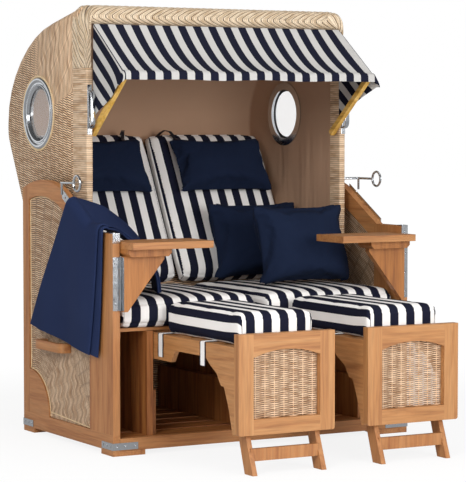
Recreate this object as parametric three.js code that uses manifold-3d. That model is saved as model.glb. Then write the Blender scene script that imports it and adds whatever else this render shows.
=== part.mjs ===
// Hooded two-seat beach chair, in millimetres, +Z up. X runs from the sitter's right to left,
// Y runs from the front of the chair to its back. While it is built, Y is zero at the front
// edges of the side frames; the last group moves the origin under the middle of the chair.
import * as THREE from "three";
import { mergeVertices } from "three/addons/utils/BufferGeometryUtils.js";
import Module from "manifold-3d";

const wasm = await Module();
wasm.setup();

// Driving sizes of the base
const bodyWidth = 1240;
const sideThickness = 28;
const sideDepth = 770;
const footHeight = 18;
const armHeight = 785;
const armLength = 170;
const shoulderBack = 350;
const slopeRise = 143;
const archRise = 32;
const rearDrop = 3;
const shoulderDepth = sideDepth - shoulderBack;
const shoulderHeight = armHeight + slopeRise;
const archHeight = shoulderHeight + archRise;
const rearHeight = shoulderHeight - rearDrop;
const frontStileWidth = 188;
const rearStileWidth = 55;
const bottomRailHeight = 57;
const topRailWidth = 62;
const rearRailShare = 2 / 3;
const cornerBlockDepth = 177;
const cornerBlockHeight = 166;
const infillThickness = 10;
const infillRecess = 8;
const pivotDepth = sideDepth - rearStileWidth / 2;
const pivotHeight = 500;

// Clearances, overruns of cuts, and how far joined pieces reach into each other
const seatGap = 0.3;
const runGap = 3;
const overrun = 20;
const embed = 1;

// Base interior
const railThickness = 26;
const railHeight = 44;
const slatThickness = 14;
const floorSlatGap = 25.94;
const floorSlatCount = 6;
const rearFrameDrop = 38;
const rearFrameTop = pivotHeight - rearFrameDrop;
const rearFrameThickness = 26;
const rearFrameInset = 2;
const rearStileEndWidth = 42;
const rearInfillThickness = 10;
const partitionThickness = 24;
const partitionFront = 30;
const partitionTop = 433.7;
const lowPostHeight = 222;
const lowPostWidth = 18;
const lowPostFront = 45;
const ledgeWidth = 21;
const ledgeThickness = 22;
const ledgeFront = 120;
const seatSlatThickness = 12;
const seatSlatGap = 25;
const seatSlatCount = 7;
const seatSlatFront = 50;
const seatSlatBackGap = 80;
const seatSlatBack = sideDepth - seatSlatBackGap;
const seatBattenWidth = 26;
const seatBattenHeight = 26;

// Feet, brackets, caps, strips, handles and pins
const footWidth = 127;
const footDepth = 95;
const bracketLeaf = 100;
const bracketSideLeaf = 88;
const bracketHeight = 25;
const bracketRaise = 4;
const plateThickness = 2;
const capDrop = 34;
const capReach = 30;
const stripWidth = 30;
const stripThickness = 3;
const stripProud = 9;
const stripHoleRadius = 4.5;
const stripHoleCount = 7;
const handleLength = 240;
const handleBackGap = 170;
const handleBack = sideDepth - handleBackGap;
const handleNeckShare = 1.4;
const handleHeight = 34;
const handleBottom = 332;
const handleStandOff = 35;
const handleGrip = 16;
const pivotPinRadius = 8;
const pivotPlateSize = 54;
const pivotPlateThickness = 4;

// Hood
const hoodSideGap = 37;
const hoodWidth = bodyWidth - 2 * (sideThickness + hoodSideGap);
const hoodHeight = 1600;
const frontReach = 403.5;
const hoodFront = pivotDepth - frontReach;
const hoodWall = 16;
const hoodEdgeRadius = 26;
const skirtRaise = 85;
const hoodSkirtHeight = pivotHeight + skirtRaise;
const rimDepth = 70;
const rimTopHeight = 70;
const rimSideWidth = 27;
const rimDrop = 228;
const rimBottom = hoodHeight - rimDrop;
const rimCorner = 36;
const postWidth = 25;
const postCorner = 7;
const liningThickness = 2.7;
const earRadius = 32;
const earNeckShare = 1.6;
const rearWallRaise = 20;
const rearWallBottom = pivotHeight + rearWallRaise;
const backLean = THREE.MathUtils.degToRad(28.5);
const leanBaseReach = 21.5;
const leanBaseRaise = 45;
const leanBaseDepth = pivotDepth + leanBaseReach;
const leanBaseHeight = pivotHeight + leanBaseRaise;
const roofKneeReach = 79.5;
const roofFall = 52;
const roofKneeDepth = pivotDepth - roofKneeReach;
const roofKneeHeight = hoodHeight - roofFall;
const leanTopHeight = 1077;
const leanTopDepth = leanBaseDepth + (leanTopHeight - leanBaseHeight) * Math.tan(backLean);
const widestRise = 93;
const backBulge = 21.1476;
const widestHeight = leanTopHeight + widestRise;
const hoodBack = leanTopDepth + backBulge;

// Portholes
const portholeReach = 22.5;
const portholeDrop = 392;
const portholeDepth = pivotDepth + portholeReach;
const portholeHeight = hoodHeight - portholeDrop;
const portholeFlangeRadius = 136;
const portholeInnerFlangeRadius = 128;
const portholeTubeRadius = 104;
const portholeTubeWall = 6;
const portholeFlangeThickness = 8;
const portholeInnerFlangeThickness = 5;
const paneThickness = 4;
const roundSides = 24;

// Backrest, pads and pillows
const boardThickness = 10;
const padThickness = 95;
const padStart = -30;
const padPastBend = 4.641;
const padLength = (leanTopHeight - leanBaseHeight) / Math.cos(backLean) - padStart + padPastBend;
const padHalfGap = 3;
const padSideGap = 9;
const padCrown = 9;
const padRound = 22;
const neckSideGap = 34.5;
const neckShift = 7;
const neckLength = 255;
const neckThickness = 88;
const neckTopGap = 37;
const neckSink = 2.2;
const seatCushionHeight = 102;
const seatCushionFront = 2;
const seatCushionBackGap = 112;
const seatCushionDepth = sideDepth - seatCushionFront - seatCushionBackGap;
const cushionSideGap = 4;
const throwPillowWidth = 420;
const throwPillowHeight = 360;
const throwPillowThickness = 135;
const throwPillowSideGap = 72;
const throwPillowLean = THREE.MathUtils.degToRad(27);
const rearPillowBackGap = 46;
const frontPillowShare = 0.39939;
const rearPillowDepth = seatCushionFront + seatCushionDepth - rearPillowBackGap;
const frontPillowDepth = frontPillowShare * seatCushionDepth;
const frontPillowSink = 6;
const rearPillowSink = 7.8;

// Awning
const awningPivotInset = 27;
const awningPivotDrop = 463;
const awningReach = 234;
const awningBarDrop = 255;
const awningPivotDepth = hoodFront + awningPivotInset;
const awningPivotHeight = hoodHeight - awningPivotDrop;
const awningBarDepth = hoodFront - awningReach;
const awningBarHeight = hoodHeight - awningBarDrop;
const awningArmThickness = 18;
const awningArmWidth = 20;
const awningBarRadius = 9;
const awningCloth = 2.4;
const awningSag = 26;
const awningHem = 24;
const flapRearDrop = 410;
const flapFrontDrop = 294;
const flapRearBottom = hoodHeight - flapRearDrop;
const flapFrontBottom = hoodHeight - flapFrontDrop;
const flapBulge = 18;
const awningArmGap = 7;
const awningPinRadius = 5;
const awningPinReach = 10;

// Footrests, in their drawn-out place
const footrestInner = 67;
const footrestOuter = 443;
const footrestFront = -581;
const footrestFrameThickness = 30;
const footrestBottom = 133;
const boardPlay = 6.2;
const boardTop = partitionTop - boardPlay;
const footrestLip = 44.5;
const footrestTop = boardTop + footrestLip;
const footrestStile = 58;
const footrestRail = 53;
const footrestArchDrop = 79;
const footrestArchSpring = footrestTop - footrestArchDrop;
const footrestArchRise = 24;
const footrestCorner = 10;
const boardWidth = 18;
const boardRear = 190;
const runnerShare = 0.686;
const footSlatWidth = 60;
const footSlatCount = 6;
const footPadRise = 117.5;
const footPadTop = boardTop + footPadRise;
const footPadSideGap = 20;
const footPadFarGap = 50;
const footPadWidth = footrestOuter - footrestInner - footPadSideGap - footPadFarGap;
const footPadEndGap = 2;
const footWickerRecess = 2;
const strapWidth = 40;
const strapThickness = 2;
const strapDrop = 81.5;
const strapBottom = boardTop - strapDrop;
const strapDepths = [-45, -355];
const legInset = 44;
const legThickness = 18;
const legPivotDepth = -520;
const legPivotHeight = 152;
const legHeadRadius = 26;
const legHeadStart = -Math.PI / 7;
const legHeadEnd = Math.PI * 1.11;
const legFootFront = -600;
const legFootDepth = 55;
const legRailBottom = 45;
const legRailHeight = 42;
const legRailThickness = 16;
const legPinRadius = 4;
const legPinHoleGap = 0.4;
const cleatWidth = 14;
const cleatDepth = 52;
const cleatHeight = 46;

// Side tables
const tableOuterGap = 3;
const tableWidth = 318;
const tableDepth = 188;
const tableFront = -100;
const tableThickness = 25;
const tableDrop = 53;
const tableUnderside = armHeight - tableDrop;
const bracketLength = 221;
const bracketBottom = tableUnderside - bracketLength;
const bracketCurveShares = [0.62, 0.55];
const bracketPlay = 1;
const bracketTopWidth = 158;
const bracketFootWidth = 14;
const bracketThickness = 26;
const battenHeight = 26;
const battenFront = -62;
const battenBack = 30;
const battenChamfer = 12;
const hingeBarrelRadius = 3;
const hingeStandOff = 5;
const hingeLeafThickness = 1.4;
const hingeKnuckles = 5;
const hingeSetOut = 1;
const knuckleWeb = 1;

// Lock levers and grab handles
const leverInset = 35;
const leverRaise = 27;
const leverDepth = hoodFront + leverInset;
const leverHeight = shoulderHeight + leverRaise;
const leverRodRadius = 4.5;
const leverReach = 85;
const leverLength = 100;
const leverTooth = 44;
const leverRingRadius = 28;
const grabInset = 10;
const grabRaiseShare = 0.4676259;
const grabLength = 140;
const grabBottom = leverHeight + grabRaiseShare * (rimBottom - leverHeight);
const grabTop = grabBottom + grabLength;
const grabStandOff = 32;
const grabBand = 18;
const grabThickness = 4;

// Folded throw over the left side
const throwThickness = 18;
const throwFold = 6;
const throwRearTopGap = 94;
const throwRearBottomGap = 122;
const throwRearTopDepth = shoulderDepth - throwRearTopGap;
const throwRearBottomDepth = sideDepth - throwRearBottomGap;
const throwRearBottomHeight = 418;
const throwFrontTopDepth = 52;
const throwFrontBottomDepth = 96;
const throwFrontBottomHeight = 343;
const throwInnerFrontDepth = 108;
const throwInnerShare = 0.78;
const throwInwardReach = 300;
const throwTaperShare = 0.3;
const throwHangShares = [0, 0.33, 0.66, 1];
// How far the inner run lies in from the panel, and its height, as shares of its reach and drop
const throwInwardShares = [[0.06, 0.02], [0.3, 0.1], [0.56, 0.27], [0.8, 0.5], [0.93, 0.74], [0.97, 1]];

// Colours and finishes
function finish(color, roughness, metalness = 0, opacity = 1) {
  return new THREE.MeshStandardMaterial({ color, roughness, metalness, opacity, transparent: opacity < 1 });
}
const oiledWood = finish("#c98f58", 0.55);
const paleWood = finish("#cfa04a", 0.5);
const plywood = finish("#b98a5a", 0.7);
const wicker = finish("#b99c78", 0.85);
const braid = finish("#dcc9a6", 0.8);
const cane = finish("#c9ab84", 0.75);
const stripedCloth = finish("#8d8f99", 0.9);
const navyCloth = finish("#172238", 0.95);
const liningCloth = finish("#8a6a52", 0.9);
const steel = finish("#d5d7da", 0.2, 1);
const clearPane = finish("#eef4f6", 0.05, 0, 0.35);

// Boxes, plates and turned pieces
function box(x0, x1, y0, y1, z0, z1) {
  const shape = new THREE.BoxGeometry(Math.abs(x1 - x0), Math.abs(y1 - y0), Math.abs(z1 - z0));
  return shape.translate((x0 + x1) / 2, (y0 + y1) / 2, (z0 + z1) / 2);
}

function place(geometry, xAxis, yAxis, zAxis) {
  return geometry.applyMatrix4(new THREE.Matrix4().makeBasis(xAxis, yAxis, zAxis));
}
const X = new THREE.Vector3(1, 0, 0);
const Y = new THREE.Vector3(0, 1, 0);
const Z = new THREE.Vector3(0, 0, 1);

// A shape drawn in (Y, Z) and thickened along X
function plateX(shape, x0, x1, curveSegments = 8) {
  const low = Math.min(x0, x1);
  const solid = new THREE.ExtrudeGeometry(shape, { depth: Math.abs(x1 - x0), bevelEnabled: false, curveSegments });
  return place(solid, Y, Z, X).translate(low, 0, 0);
}

// A shape drawn in (X, Z) and thickened along Y
function plateY(shape, y0, y1, curveSegments = 8) {
  const solid = new THREE.ExtrudeGeometry(shape, { depth: y1 - y0, bevelEnabled: false, curveSegments });
  return place(solid, X, Z, Y.clone().negate()).translate(0, y1, 0);
}

// A shape drawn in (X, Y) and thickened along Z
function plateZ(shape, z0, z1, curveSegments = 6) {
  const solid = new THREE.ExtrudeGeometry(shape, { depth: z1 - z0, bevelEnabled: false, curveSegments });
  return solid.translate(0, 0, z0);
}

function polygon(points) {
  return new THREE.Shape(points.map(([a, b]) => new THREE.Vector2(a, b)));
}

// A straight round bar from one point to another
function bar(from, to, radius, sides = 10) {
  const a = new THREE.Vector3(...from);
  const b = new THREE.Vector3(...to);
  const along = b.clone().sub(a);
  const solid = new THREE.CylinderGeometry(radius, radius, along.length(), sides);
  solid.applyQuaternion(new THREE.Quaternion().setFromUnitVectors(Y, along.normalize()));
  return solid.translate(...a.add(b).multiplyScalar(1 / 2).toArray());
}

// Positions only, with shared corners merged
function bare(geometry) {
  const copy = geometry.clone();
  for (const name of Object.keys(copy.attributes)) {
    if (name !== "position") copy.deleteAttribute(name);
  }
  return mergeVertices(copy, 1e-3);
}

function toSolid(geometry) {
  const merged = bare(geometry);
  const vertProperties = new Float32Array(merged.attributes.position.array);
  const triVerts = new Uint32Array(merged.index.array);
  return new wasm.Manifold(new wasm.Mesh({ numProp: 3, vertProperties, triVerts }));
}

function fromSolid(solid) {
  const mesh = solid.getMesh();
  const geometry = new THREE.BufferGeometry();
  geometry.setAttribute("position", new THREE.BufferAttribute(new Float32Array(mesh.vertProperties), 3));
  geometry.setIndex(new THREE.BufferAttribute(new Uint32Array(mesh.triVerts), 1));
  return geometry;
}

function join(...pieces) {
  return fromSolid(pieces.map(toSolid).reduce((whole, piece) => whole.add(piece)));
}

function cut(body, ...tools) {
  return fromSolid(tools.map(toSolid).reduce((whole, tool) => whole.subtract(tool), toSolid(body)));
}

// The other side's copy, with its faces turned the right way out
function mirrored(geometry) {
  const copy = bare(geometry);
  copy.scale(-1, 1, 1);
  const index = copy.index.array;
  for (let i = 0; i < index.length; i += 3) [index[i + 1], index[i + 2]] = [index[i + 2], index[i + 1]];
  return copy;
}

function sided(geometry, side) {
  return side > 0 ? geometry : mirrored(geometry);
}

// A closed mesh from a grid of points on its outer face and a second grid on its inner face
function sheetBetween(outer, inner) {
  const rows = outer.length;
  const columns = outer[0].length;
  const positions = [...outer.flat(), ...inner.flat()].flatMap((p) => p.toArray());
  const index = [];
  const at = (i, j, layer) => layer * rows * columns + i * columns + j;
  const quad = (a, b, c, d) => index.push(a, b, c, a, c, d);
  for (let i = 0; i < rows - 1; i += 1) {
    for (let j = 0; j < columns - 1; j += 1) {
      quad(at(i, j, 0), at(i, j + 1, 0), at(i + 1, j + 1, 0), at(i + 1, j, 0));
      quad(at(i, j, 1), at(i + 1, j, 1), at(i + 1, j + 1, 1), at(i, j + 1, 1));
    }
  }
  for (let j = 0; j < columns - 1; j += 1) {
    quad(at(0, j, 0), at(0, j, 1), at(0, j + 1, 1), at(0, j + 1, 0));
    quad(at(rows - 1, j, 0), at(rows - 1, j + 1, 0), at(rows - 1, j + 1, 1), at(rows - 1, j, 1));
  }
  for (let i = 0; i < rows - 1; i += 1) {
    quad(at(i, 0, 0), at(i + 1, 0, 0), at(i + 1, 0, 1), at(i, 0, 1));
    quad(at(i, columns - 1, 0), at(i, columns - 1, 1), at(i + 1, columns - 1, 1), at(i + 1, columns - 1, 0));
  }
  const geometry = new THREE.BufferGeometry();
  geometry.setAttribute("position", new THREE.Float32BufferAttribute(positions, 3));
  geometry.setIndex(index);
  return geometry;
}

// The same grid pushed inwards by the cloth's thickness, square to the surface
function pushedIn(grid, thickness) {
  return grid.map((row, i) => row.map((point, j) => {
    const nextRow = grid[Math.min(i + 1, grid.length - 1)][j];
    const lastRow = grid[Math.max(i - 1, 0)][j];
    const nextColumn = row[Math.min(j + 1, row.length - 1)];
    const lastColumn = row[Math.max(j - 1, 0)];
    const normal = nextColumn.clone().sub(lastColumn).cross(nextRow.clone().sub(lastRow)).normalize();
    return point.clone().addScaledVector(normal, -thickness);
  }));
}

// A stuffed form: crowned faces, rounded edges and sides drawn in between the corners.
// round is the edge radius, seam the height of the straight side, flat keeps the underside level.
function cushion({ width, depth, height, round, seam, crown, drawShare = 0.03, cornerShare = 0.05,
  columns = 12, rows = 10, flat = false }) {
  const edge = (a, half) => {
    const start = 1 - Math.min(round / half, 1);
    const t = Math.max(Math.abs(a) - start, 0) / (1 - start);
    return Math.sqrt(Math.max(1 - t * t, 0));
  };
  const face = (sign) => Array.from({ length: rows + 1 }, (_, i) => {
    const v = Math.sin((Math.PI / 2) * (-1 + (2 * i) / rows));
    return Array.from({ length: columns + 1 }, (__, j) => {
      const u = Math.sin((Math.PI / 2) * (-1 + (2 * j) / columns));
      const corner = 1 - cornerShare * (u * v) ** 4;
      const x = (width / 2) * u * (1 - drawShare * (1 - v * v)) * corner;
      const y = (depth / 2) * v * (1 - drawShare * (1 - u * u)) * corner;
      const swell = edge(u, width / 2) * edge(v, depth / 2);
      const arch = flat && sign < 0 ? 0 : crown * (1 - u * u) * (1 - v * v);
      const z = seam / 2 + ((height - seam) / 2) * swell + arch;
      return new THREE.Vector3(x, y, sign * z);
    });
  });
  return sheetBetween(face(1), face(-1));
}

// Where pieces hang in the scene graph
const chair = new THREE.Group();
function add(name, geometry, material) {
  const mesh = new THREE.Mesh(bare(geometry), material);
  mesh.name = name;
  chair.add(mesh);
}
const sides = [["left", -1], ["right", 1]];

// Places that several pieces share
const halfBody = bodyWidth / 2;
const innerFace = halfBody - sideThickness;
const halfHood = hoodWidth / 2;
const slopeGrade = (shoulderHeight - armHeight) / (shoulderDepth - armLength);
const slopeHeight = (y) => armHeight + slopeGrade * (y - armLength);
const slopeLean = Math.hypot(1, slopeGrade);
const floorTop = footHeight + railHeight;
const innerRailTop = footHeight + bottomRailHeight;
const rimBack = hoodFront + rimDepth;
const shellFront = rimBack + seatGap;
const footrestRear = footrestFront + footrestFrameThickness;

// Side frames with their woven infills
function sideOutline() {
  const shape = new THREE.Shape();
  shape.moveTo(0, footHeight);
  shape.lineTo(sideDepth, footHeight);
  shape.lineTo(sideDepth, rearHeight);
  const crest = 2 * archHeight - (shoulderHeight + rearHeight) / 2;
  shape.quadraticCurveTo((shoulderDepth + sideDepth) / 2, crest, shoulderDepth, shoulderHeight);
  shape.lineTo(armLength, armHeight);
  shape.lineTo(0, armHeight);
  return shape;
}

function infillOutline() {
  const rear = sideDepth - rearStileWidth;
  const underSlope = (y) => slopeHeight(y) - topRailWidth * slopeLean;
  const rearTop = rearHeight - topRailWidth * rearRailShare;
  const crest = 2 * (archHeight - topRailWidth) - (underSlope(shoulderDepth) + rearTop) / 2;
  const shape = new THREE.Shape();
  shape.moveTo(frontStileWidth, innerRailTop);
  shape.lineTo(rear - cornerBlockDepth, innerRailTop);
  shape.absellipse(rear, innerRailTop, cornerBlockDepth, cornerBlockHeight, Math.PI, Math.PI / 2, true, 0);
  shape.lineTo(rear, rearTop);
  shape.quadraticCurveTo((shoulderDepth + rear) / 2, crest, shoulderDepth, underSlope(shoulderDepth));
  shape.lineTo(frontStileWidth, underSlope(frontStileWidth));
  return shape;
}

function shrunk(shape, gap, segments) {
  const points = shape.getPoints(segments);
  const bounds = new THREE.Box2().setFromPoints(points);
  const centre = bounds.getCenter(new THREE.Vector2());
  const size = bounds.getSize(new THREE.Vector2());
  const share = new THREE.Vector2(1 - (2 * gap) / size.x, 1 - (2 * gap) / size.y);
  return new THREE.Shape(points.map((p) => p.clone().sub(centre).multiply(share).add(centre)));
}

for (const [name, side] of sides) {
  const frame = sideOutline();
  frame.holes.push(new THREE.Path(infillOutline().getPoints(8)));
  const outer = side * halfBody;
  const feet = [0, sideDepth - footDepth].flatMap((front) => [
    box(outer, outer - side * footWidth, front, front + footDepth, 0, footHeight - seatGap),
    box(outer, outer - side * sideThickness, front, front + footDepth, footHeight / 2, footHeight + embed),
  ]);
  add(`side_frame_${name}`, join(plateX(frame, side * innerFace, outer), ...feet), oiledWood);
  const skin = halfBody - infillRecess;
  const infill = shrunk(infillOutline(), 2 * seatGap, 8);
  add(`side_wicker_${name}`, plateX(infill, side * (skin - infillThickness), side * skin), wicker);
}

// Front rail, rear frame, rear infill and floor
const inner = innerFace - seatGap;
add("front_rail", box(-inner, inner, 0, railThickness, footHeight, floorTop), oiledWood);

const rearFrameBack = sideDepth - rearFrameInset;
const rearFrameFront = rearFrameBack - rearFrameThickness;
const rearOpenings = [-1, 1].map((side) => box(
  (side * rearStileEndWidth) / 2, side * (inner - rearStileEndWidth),
  rearFrameFront - overrun, rearFrameBack + overrun, innerRailTop, rearFrameTop - rearStileEndWidth));
add("rear_frame", cut(box(-inner, inner, rearFrameFront, rearFrameBack, footHeight, rearFrameTop),
  ...rearOpenings), oiledWood);
const rearInfillBack = rearFrameFront - seatGap;
const rearInfillFront = rearInfillBack - rearInfillThickness;
add("rear_wicker", box(-inner, inner, rearInfillFront, rearInfillBack, floorTop + seatGap, rearFrameTop), wicker);

// Brackets round the front corners
for (const [name, side] of sides) {
  const skin = halfBody + seatGap;
  const out = skin + plateThickness;
  const leaf = polygon([[out, -seatGap - plateThickness], [out, bracketSideLeaf], [skin, bracketSideLeaf],
    [skin, -seatGap], [out - bracketLeaf, -seatGap], [out - bracketLeaf, -seatGap - plateThickness]]);
  const low = footHeight + bracketRaise;
  add(`corner_bracket_${name}`, sided(plateZ(leaf, low, low + bracketHeight), side), steel);
}

// Inner frame: floor slats, and partitions with thick lower parts and ledges that the footrests slide on
const floorFront = railThickness + runGap;
const partitionBack = rearInfillFront - runGap;
const floorPitch = (partitionBack - floorFront + floorSlatGap) / floorSlatCount;
const floorSlatWidth = floorPitch - floorSlatGap;
const floorSlats = Array.from({ length: floorSlatCount }, (_, i) => {
  const front = floorFront + i * floorPitch;
  return box(-inner, inner, front, front + floorSlatWidth, floorTop - slatThickness, floorTop);
});
const ledgeTop = footrestBottom + runnerShare * (boardTop - footrestBottom) - seatGap;
const partitionInner = footrestOuter + runGap;
const partitionOuter = partitionInner + partitionThickness;
const partitionBottom = floorTop - slatThickness / 2;
const outerPartition = [
  box(partitionInner, partitionOuter, partitionFront, partitionBack, partitionBottom, partitionTop),
  box(partitionInner - lowPostWidth, partitionInner + embed, lowPostFront, partitionBack, partitionBottom, lowPostHeight),
  box(partitionInner - ledgeWidth, partitionInner + embed, ledgeFront, partitionBack, ledgeTop - ledgeThickness, ledgeTop),
];
const lowReach = footrestInner - runGap;
const ledgeReach = footrestInner + boardWidth - runGap;
add("inner_frame", join(
  ...floorSlats,
  ...outerPartition,
  ...outerPartition.map(mirrored),
  box(-partitionThickness, partitionThickness, partitionFront, partitionBack, partitionBottom, partitionTop),
  box(-lowReach, lowReach, lowPostFront, partitionBack, partitionBottom, lowPostHeight),
  box(-ledgeReach, ledgeReach, ledgeFront, partitionBack, ledgeTop - ledgeThickness, ledgeTop),
), oiledWood);

// Seat slats, joined by a batten along each side frame
const seatSlatBottom = partitionTop + seatGap;
const seatSlatTop = seatSlatBottom + seatSlatThickness;
const seatPitch = (seatSlatBack - seatSlatFront + seatSlatGap) / seatSlatCount;
const seatSlatWidth = seatPitch - seatSlatGap;
const seatSlats = Array.from({ length: seatSlatCount }, (_, i) => {
  const front = seatSlatFront + i * seatPitch;
  return box(-inner, inner, front, front + seatSlatWidth, seatSlatBottom, seatSlatTop);
});
const seatBattens = sides.map(([, side]) => box(side * (inner - seatBattenWidth), side * inner,
  seatSlatFront, seatSlatBack, seatSlatBottom - seatBattenHeight, seatSlatBottom + embed));
add("seat_slats", join(...seatSlats, ...seatBattens), oiledWood);

// Seat cushions
const seatCushionBottom = seatSlatTop + seatGap;
const seatCushionTop = seatCushionBottom + seatCushionHeight;
for (const [name, side] of sides) {
  const width = innerFace - cushionSideGap - padHalfGap;
  const pad = cushion({ width, depth: seatCushionDepth, height: seatCushionHeight, round: padRound,
    seam: seatCushionHeight / 2, crown: padCrown, drawShare: 0.012, columns: 10, rows: 8, flat: true });
  pad.translate(side * (padHalfGap + width / 2), seatCushionFront + seatCushionDepth / 2,
    seatCushionBottom + seatCushionHeight / 2);
  add(`seat_cushion_${name}`, pad, stripedCloth);
}

// Loose pillows that lean on the right half of the seat
function throwPillow(depth, sink) {
  const pad = cushion({ width: throwPillowWidth, depth: throwPillowHeight, height: throwPillowThickness,
    round: throwPillowWidth, seam: throwPillowThickness / 12, crown: 0, drawShare: 0.05, columns: 10, rows: 8 });
  pad.rotateX(Math.PI / 2 - throwPillowLean);
  const rise = seatCushionTop + padCrown - sink + (throwPillowHeight / 2) * Math.cos(throwPillowLean);
  return pad.translate(innerFace - throwPillowSideGap - throwPillowWidth / 2, depth, rise);
}
add("throw_pillow_front", throwPillow(frontPillowDepth, frontPillowSink), navyCloth);
add("throw_pillow_rear", throwPillow(rearPillowDepth, rearPillowSink), navyCloth);

// Hood pivots: a plate on each rear stile with a pin through the hood's ear
const hoodPlay = innerFace - halfHood;
for (const [name, side] of sides) {
  const plate = box(innerFace - seatGap - pivotPlateThickness, innerFace - seatGap,
    pivotDepth - pivotPlateSize / 2, pivotDepth + pivotPlateSize / 2,
    pivotHeight - pivotPlateSize / 2, pivotHeight + pivotPlateSize / 2);
  const pin = bar([innerFace - seatGap - pivotPlateThickness / 2, pivotDepth, pivotHeight],
    [halfHood - hoodWall, pivotDepth, pivotHeight], pivotPinRadius, 16);
  const collar = bar([innerFace - seatGap - pivotPlateThickness / 2, pivotDepth, pivotHeight],
    [innerFace - hoodPlay + 2 * seatGap, pivotDepth, pivotHeight], 2 * pivotPinRadius, 16);
  add(`hood_pivot_${name}`, sided(join(plate, pin, collar), side), steel);
}

// Perforated strips on the slopes and caps on the arm fronts
const stripStart = armLength + stripWidth / 2;
const stripEnd = shoulderDepth - stripWidth / 3;
for (const [name, side] of sides) {
  const low = (stripProud - stripWidth) * slopeLean;
  const high = stripProud * slopeLean;
  const shape = polygon([[stripStart, slopeHeight(stripStart) + low], [stripEnd, slopeHeight(stripEnd) + low],
    [stripEnd, slopeHeight(stripEnd) + high], [stripStart, slopeHeight(stripStart) + high]]);
  for (let i = 0; i < stripHoleCount; i += 1) {
    const y = stripStart + ((stripEnd - stripStart) * (i + 1)) / (stripHoleCount + 1);
    const hole = new THREE.Path();
    hole.absarc(y, slopeHeight(y) + (low + high) / 2, stripHoleRadius, 0, 2 * Math.PI);
    shape.holes.push(new THREE.Path(hole.getPoints(4).slice(0, -1)));
  }
  const skin = halfBody + seatGap;
  add(`recline_strip_${name}`, plateX(shape, side * skin, side * (skin + stripThickness), 4), steel);
}

for (const [name, side] of sides) {
  const front = -seatGap;
  const top = armHeight + seatGap;
  const shape = polygon([[front, armHeight - capDrop], [front, top], [capReach, top],
    [capReach, top + plateThickness], [front - plateThickness, top + plateThickness],
    [front - plateThickness, armHeight - capDrop]]);
  add(`arm_cap_${name}`, plateX(shape, side * (innerFace + seatGap), side * (halfBody - seatGap)), steel);
}

// Wooden carry handles on the side infills
for (const [name, side] of sides) {
  const foot = halfBody - infillRecess + seatGap;
  const out = halfBody + handleStandOff;
  const front = handleBack - handleLength;
  const end = handleLength / 6;
  const shape = new THREE.Shape();
  shape.moveTo(foot, front);
  shape.lineTo(out - handleGrip, front);
  shape.quadraticCurveTo(out, front, out, front + end);
  shape.lineTo(out, handleBack - end);
  shape.quadraticCurveTo(out, handleBack, out - handleGrip, handleBack);
  shape.lineTo(foot, handleBack);
  shape.lineTo(foot, handleBack - end);
  shape.lineTo(out - handleGrip, handleBack - handleNeckShare * end);
  shape.lineTo(out - handleGrip, front + handleNeckShare * end);
  shape.lineTo(foot, front + end);
  add(`carry_handle_${name}`, sided(plateZ(shape, handleBottom, handleBottom + handleHeight, 4), side), oiledWood);
}

// The hood's side view. Each point also says how the rounded edge pulls in there.
const leanAlong = new THREE.Vector2(Math.sin(backLean), Math.cos(backLean));
function hoodProfile(inset = 0) {
  const roofGrade = (hoodHeight - roofKneeHeight) / (roofKneeDepth - hoodFront);
  const start = hoodHeight - roofGrade * (shellFront - hoodFront);
  const path = new THREE.Path();
  path.moveTo(shellFront, start);
  path.lineTo(roofKneeDepth, roofKneeHeight);
  const kneeReach = (hoodBack - roofKneeDepth) / 2;
  path.bezierCurveTo(roofKneeDepth + kneeReach, roofKneeHeight - roofGrade * kneeReach,
    hoodBack, widestHeight + (roofKneeHeight - widestHeight) / 2, hoodBack, widestHeight);
  const tuck = (widestHeight - leanTopHeight) / 2;
  path.bezierCurveTo(hoodBack, widestHeight - tuck, leanTopDepth + tuck * leanAlong.x,
    leanTopHeight + tuck * leanAlong.y, leanTopDepth, leanTopHeight);
  path.lineTo(leanBaseDepth, leanBaseHeight);
  const points = path.getPoints(8);
  return points.map((p, i) => {
    const before = points[Math.max(i - 1, 0)];
    const after = points[Math.min(i + 1, points.length - 1)];
    const along = after.clone().sub(before).normalize();
    const inward = i === 0 ? new THREE.Vector2(0, -1 / along.x) : new THREE.Vector2(along.y, -along.x);
    return p.clone().add(inward.multiplyScalar(inset));
  });
}

// The outer hood body, its long edges rounded by rings that step in from the flat sides
function hoodBody(reach, edge, profileInset, close) {
  const steps = 4;
  const rings = [];
  for (const side of [-1, 1]) {
    for (let k = 0; k <= steps; k += 1) {
      const turn = ((side < 0 ? k : steps - k) / steps) * (Math.PI / 2);
      const inset = profileInset + edge * (1 - Math.sin(turn));
      const x = side * (reach - edge * (1 - Math.cos(turn)));
      rings.push(close(hoodProfile(inset), inset - profileInset).map((p) => new THREE.Vector3(x, p.x, p.y)));
    }
  }
  const count = rings[0].length;
  const positions = rings.flat().flatMap((p) => p.toArray());
  const index = [];
  for (let r = 0; r < rings.length - 1; r += 1) {
    for (let i = 0; i < count; i += 1) {
      const a = r * count + i;
      const b = r * count + ((i + 1) % count);
      index.push(a, a + count, b, b, a + count, b + count);
    }
  }
  const flat = rings[0].map((p) => new THREE.Vector2(p.y, p.z));
  for (const [a, b, c] of THREE.ShapeUtils.triangulateShape(flat, [])) {
    index.push(a, c, b);
    const last = (rings.length - 1) * count;
    index.push(last + a, last + b, last + c);
  }
  const geometry = new THREE.BufferGeometry();
  geometry.setAttribute("position", new THREE.Float32BufferAttribute(positions, 3));
  geometry.setIndex(index);
  return geometry;
}

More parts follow.
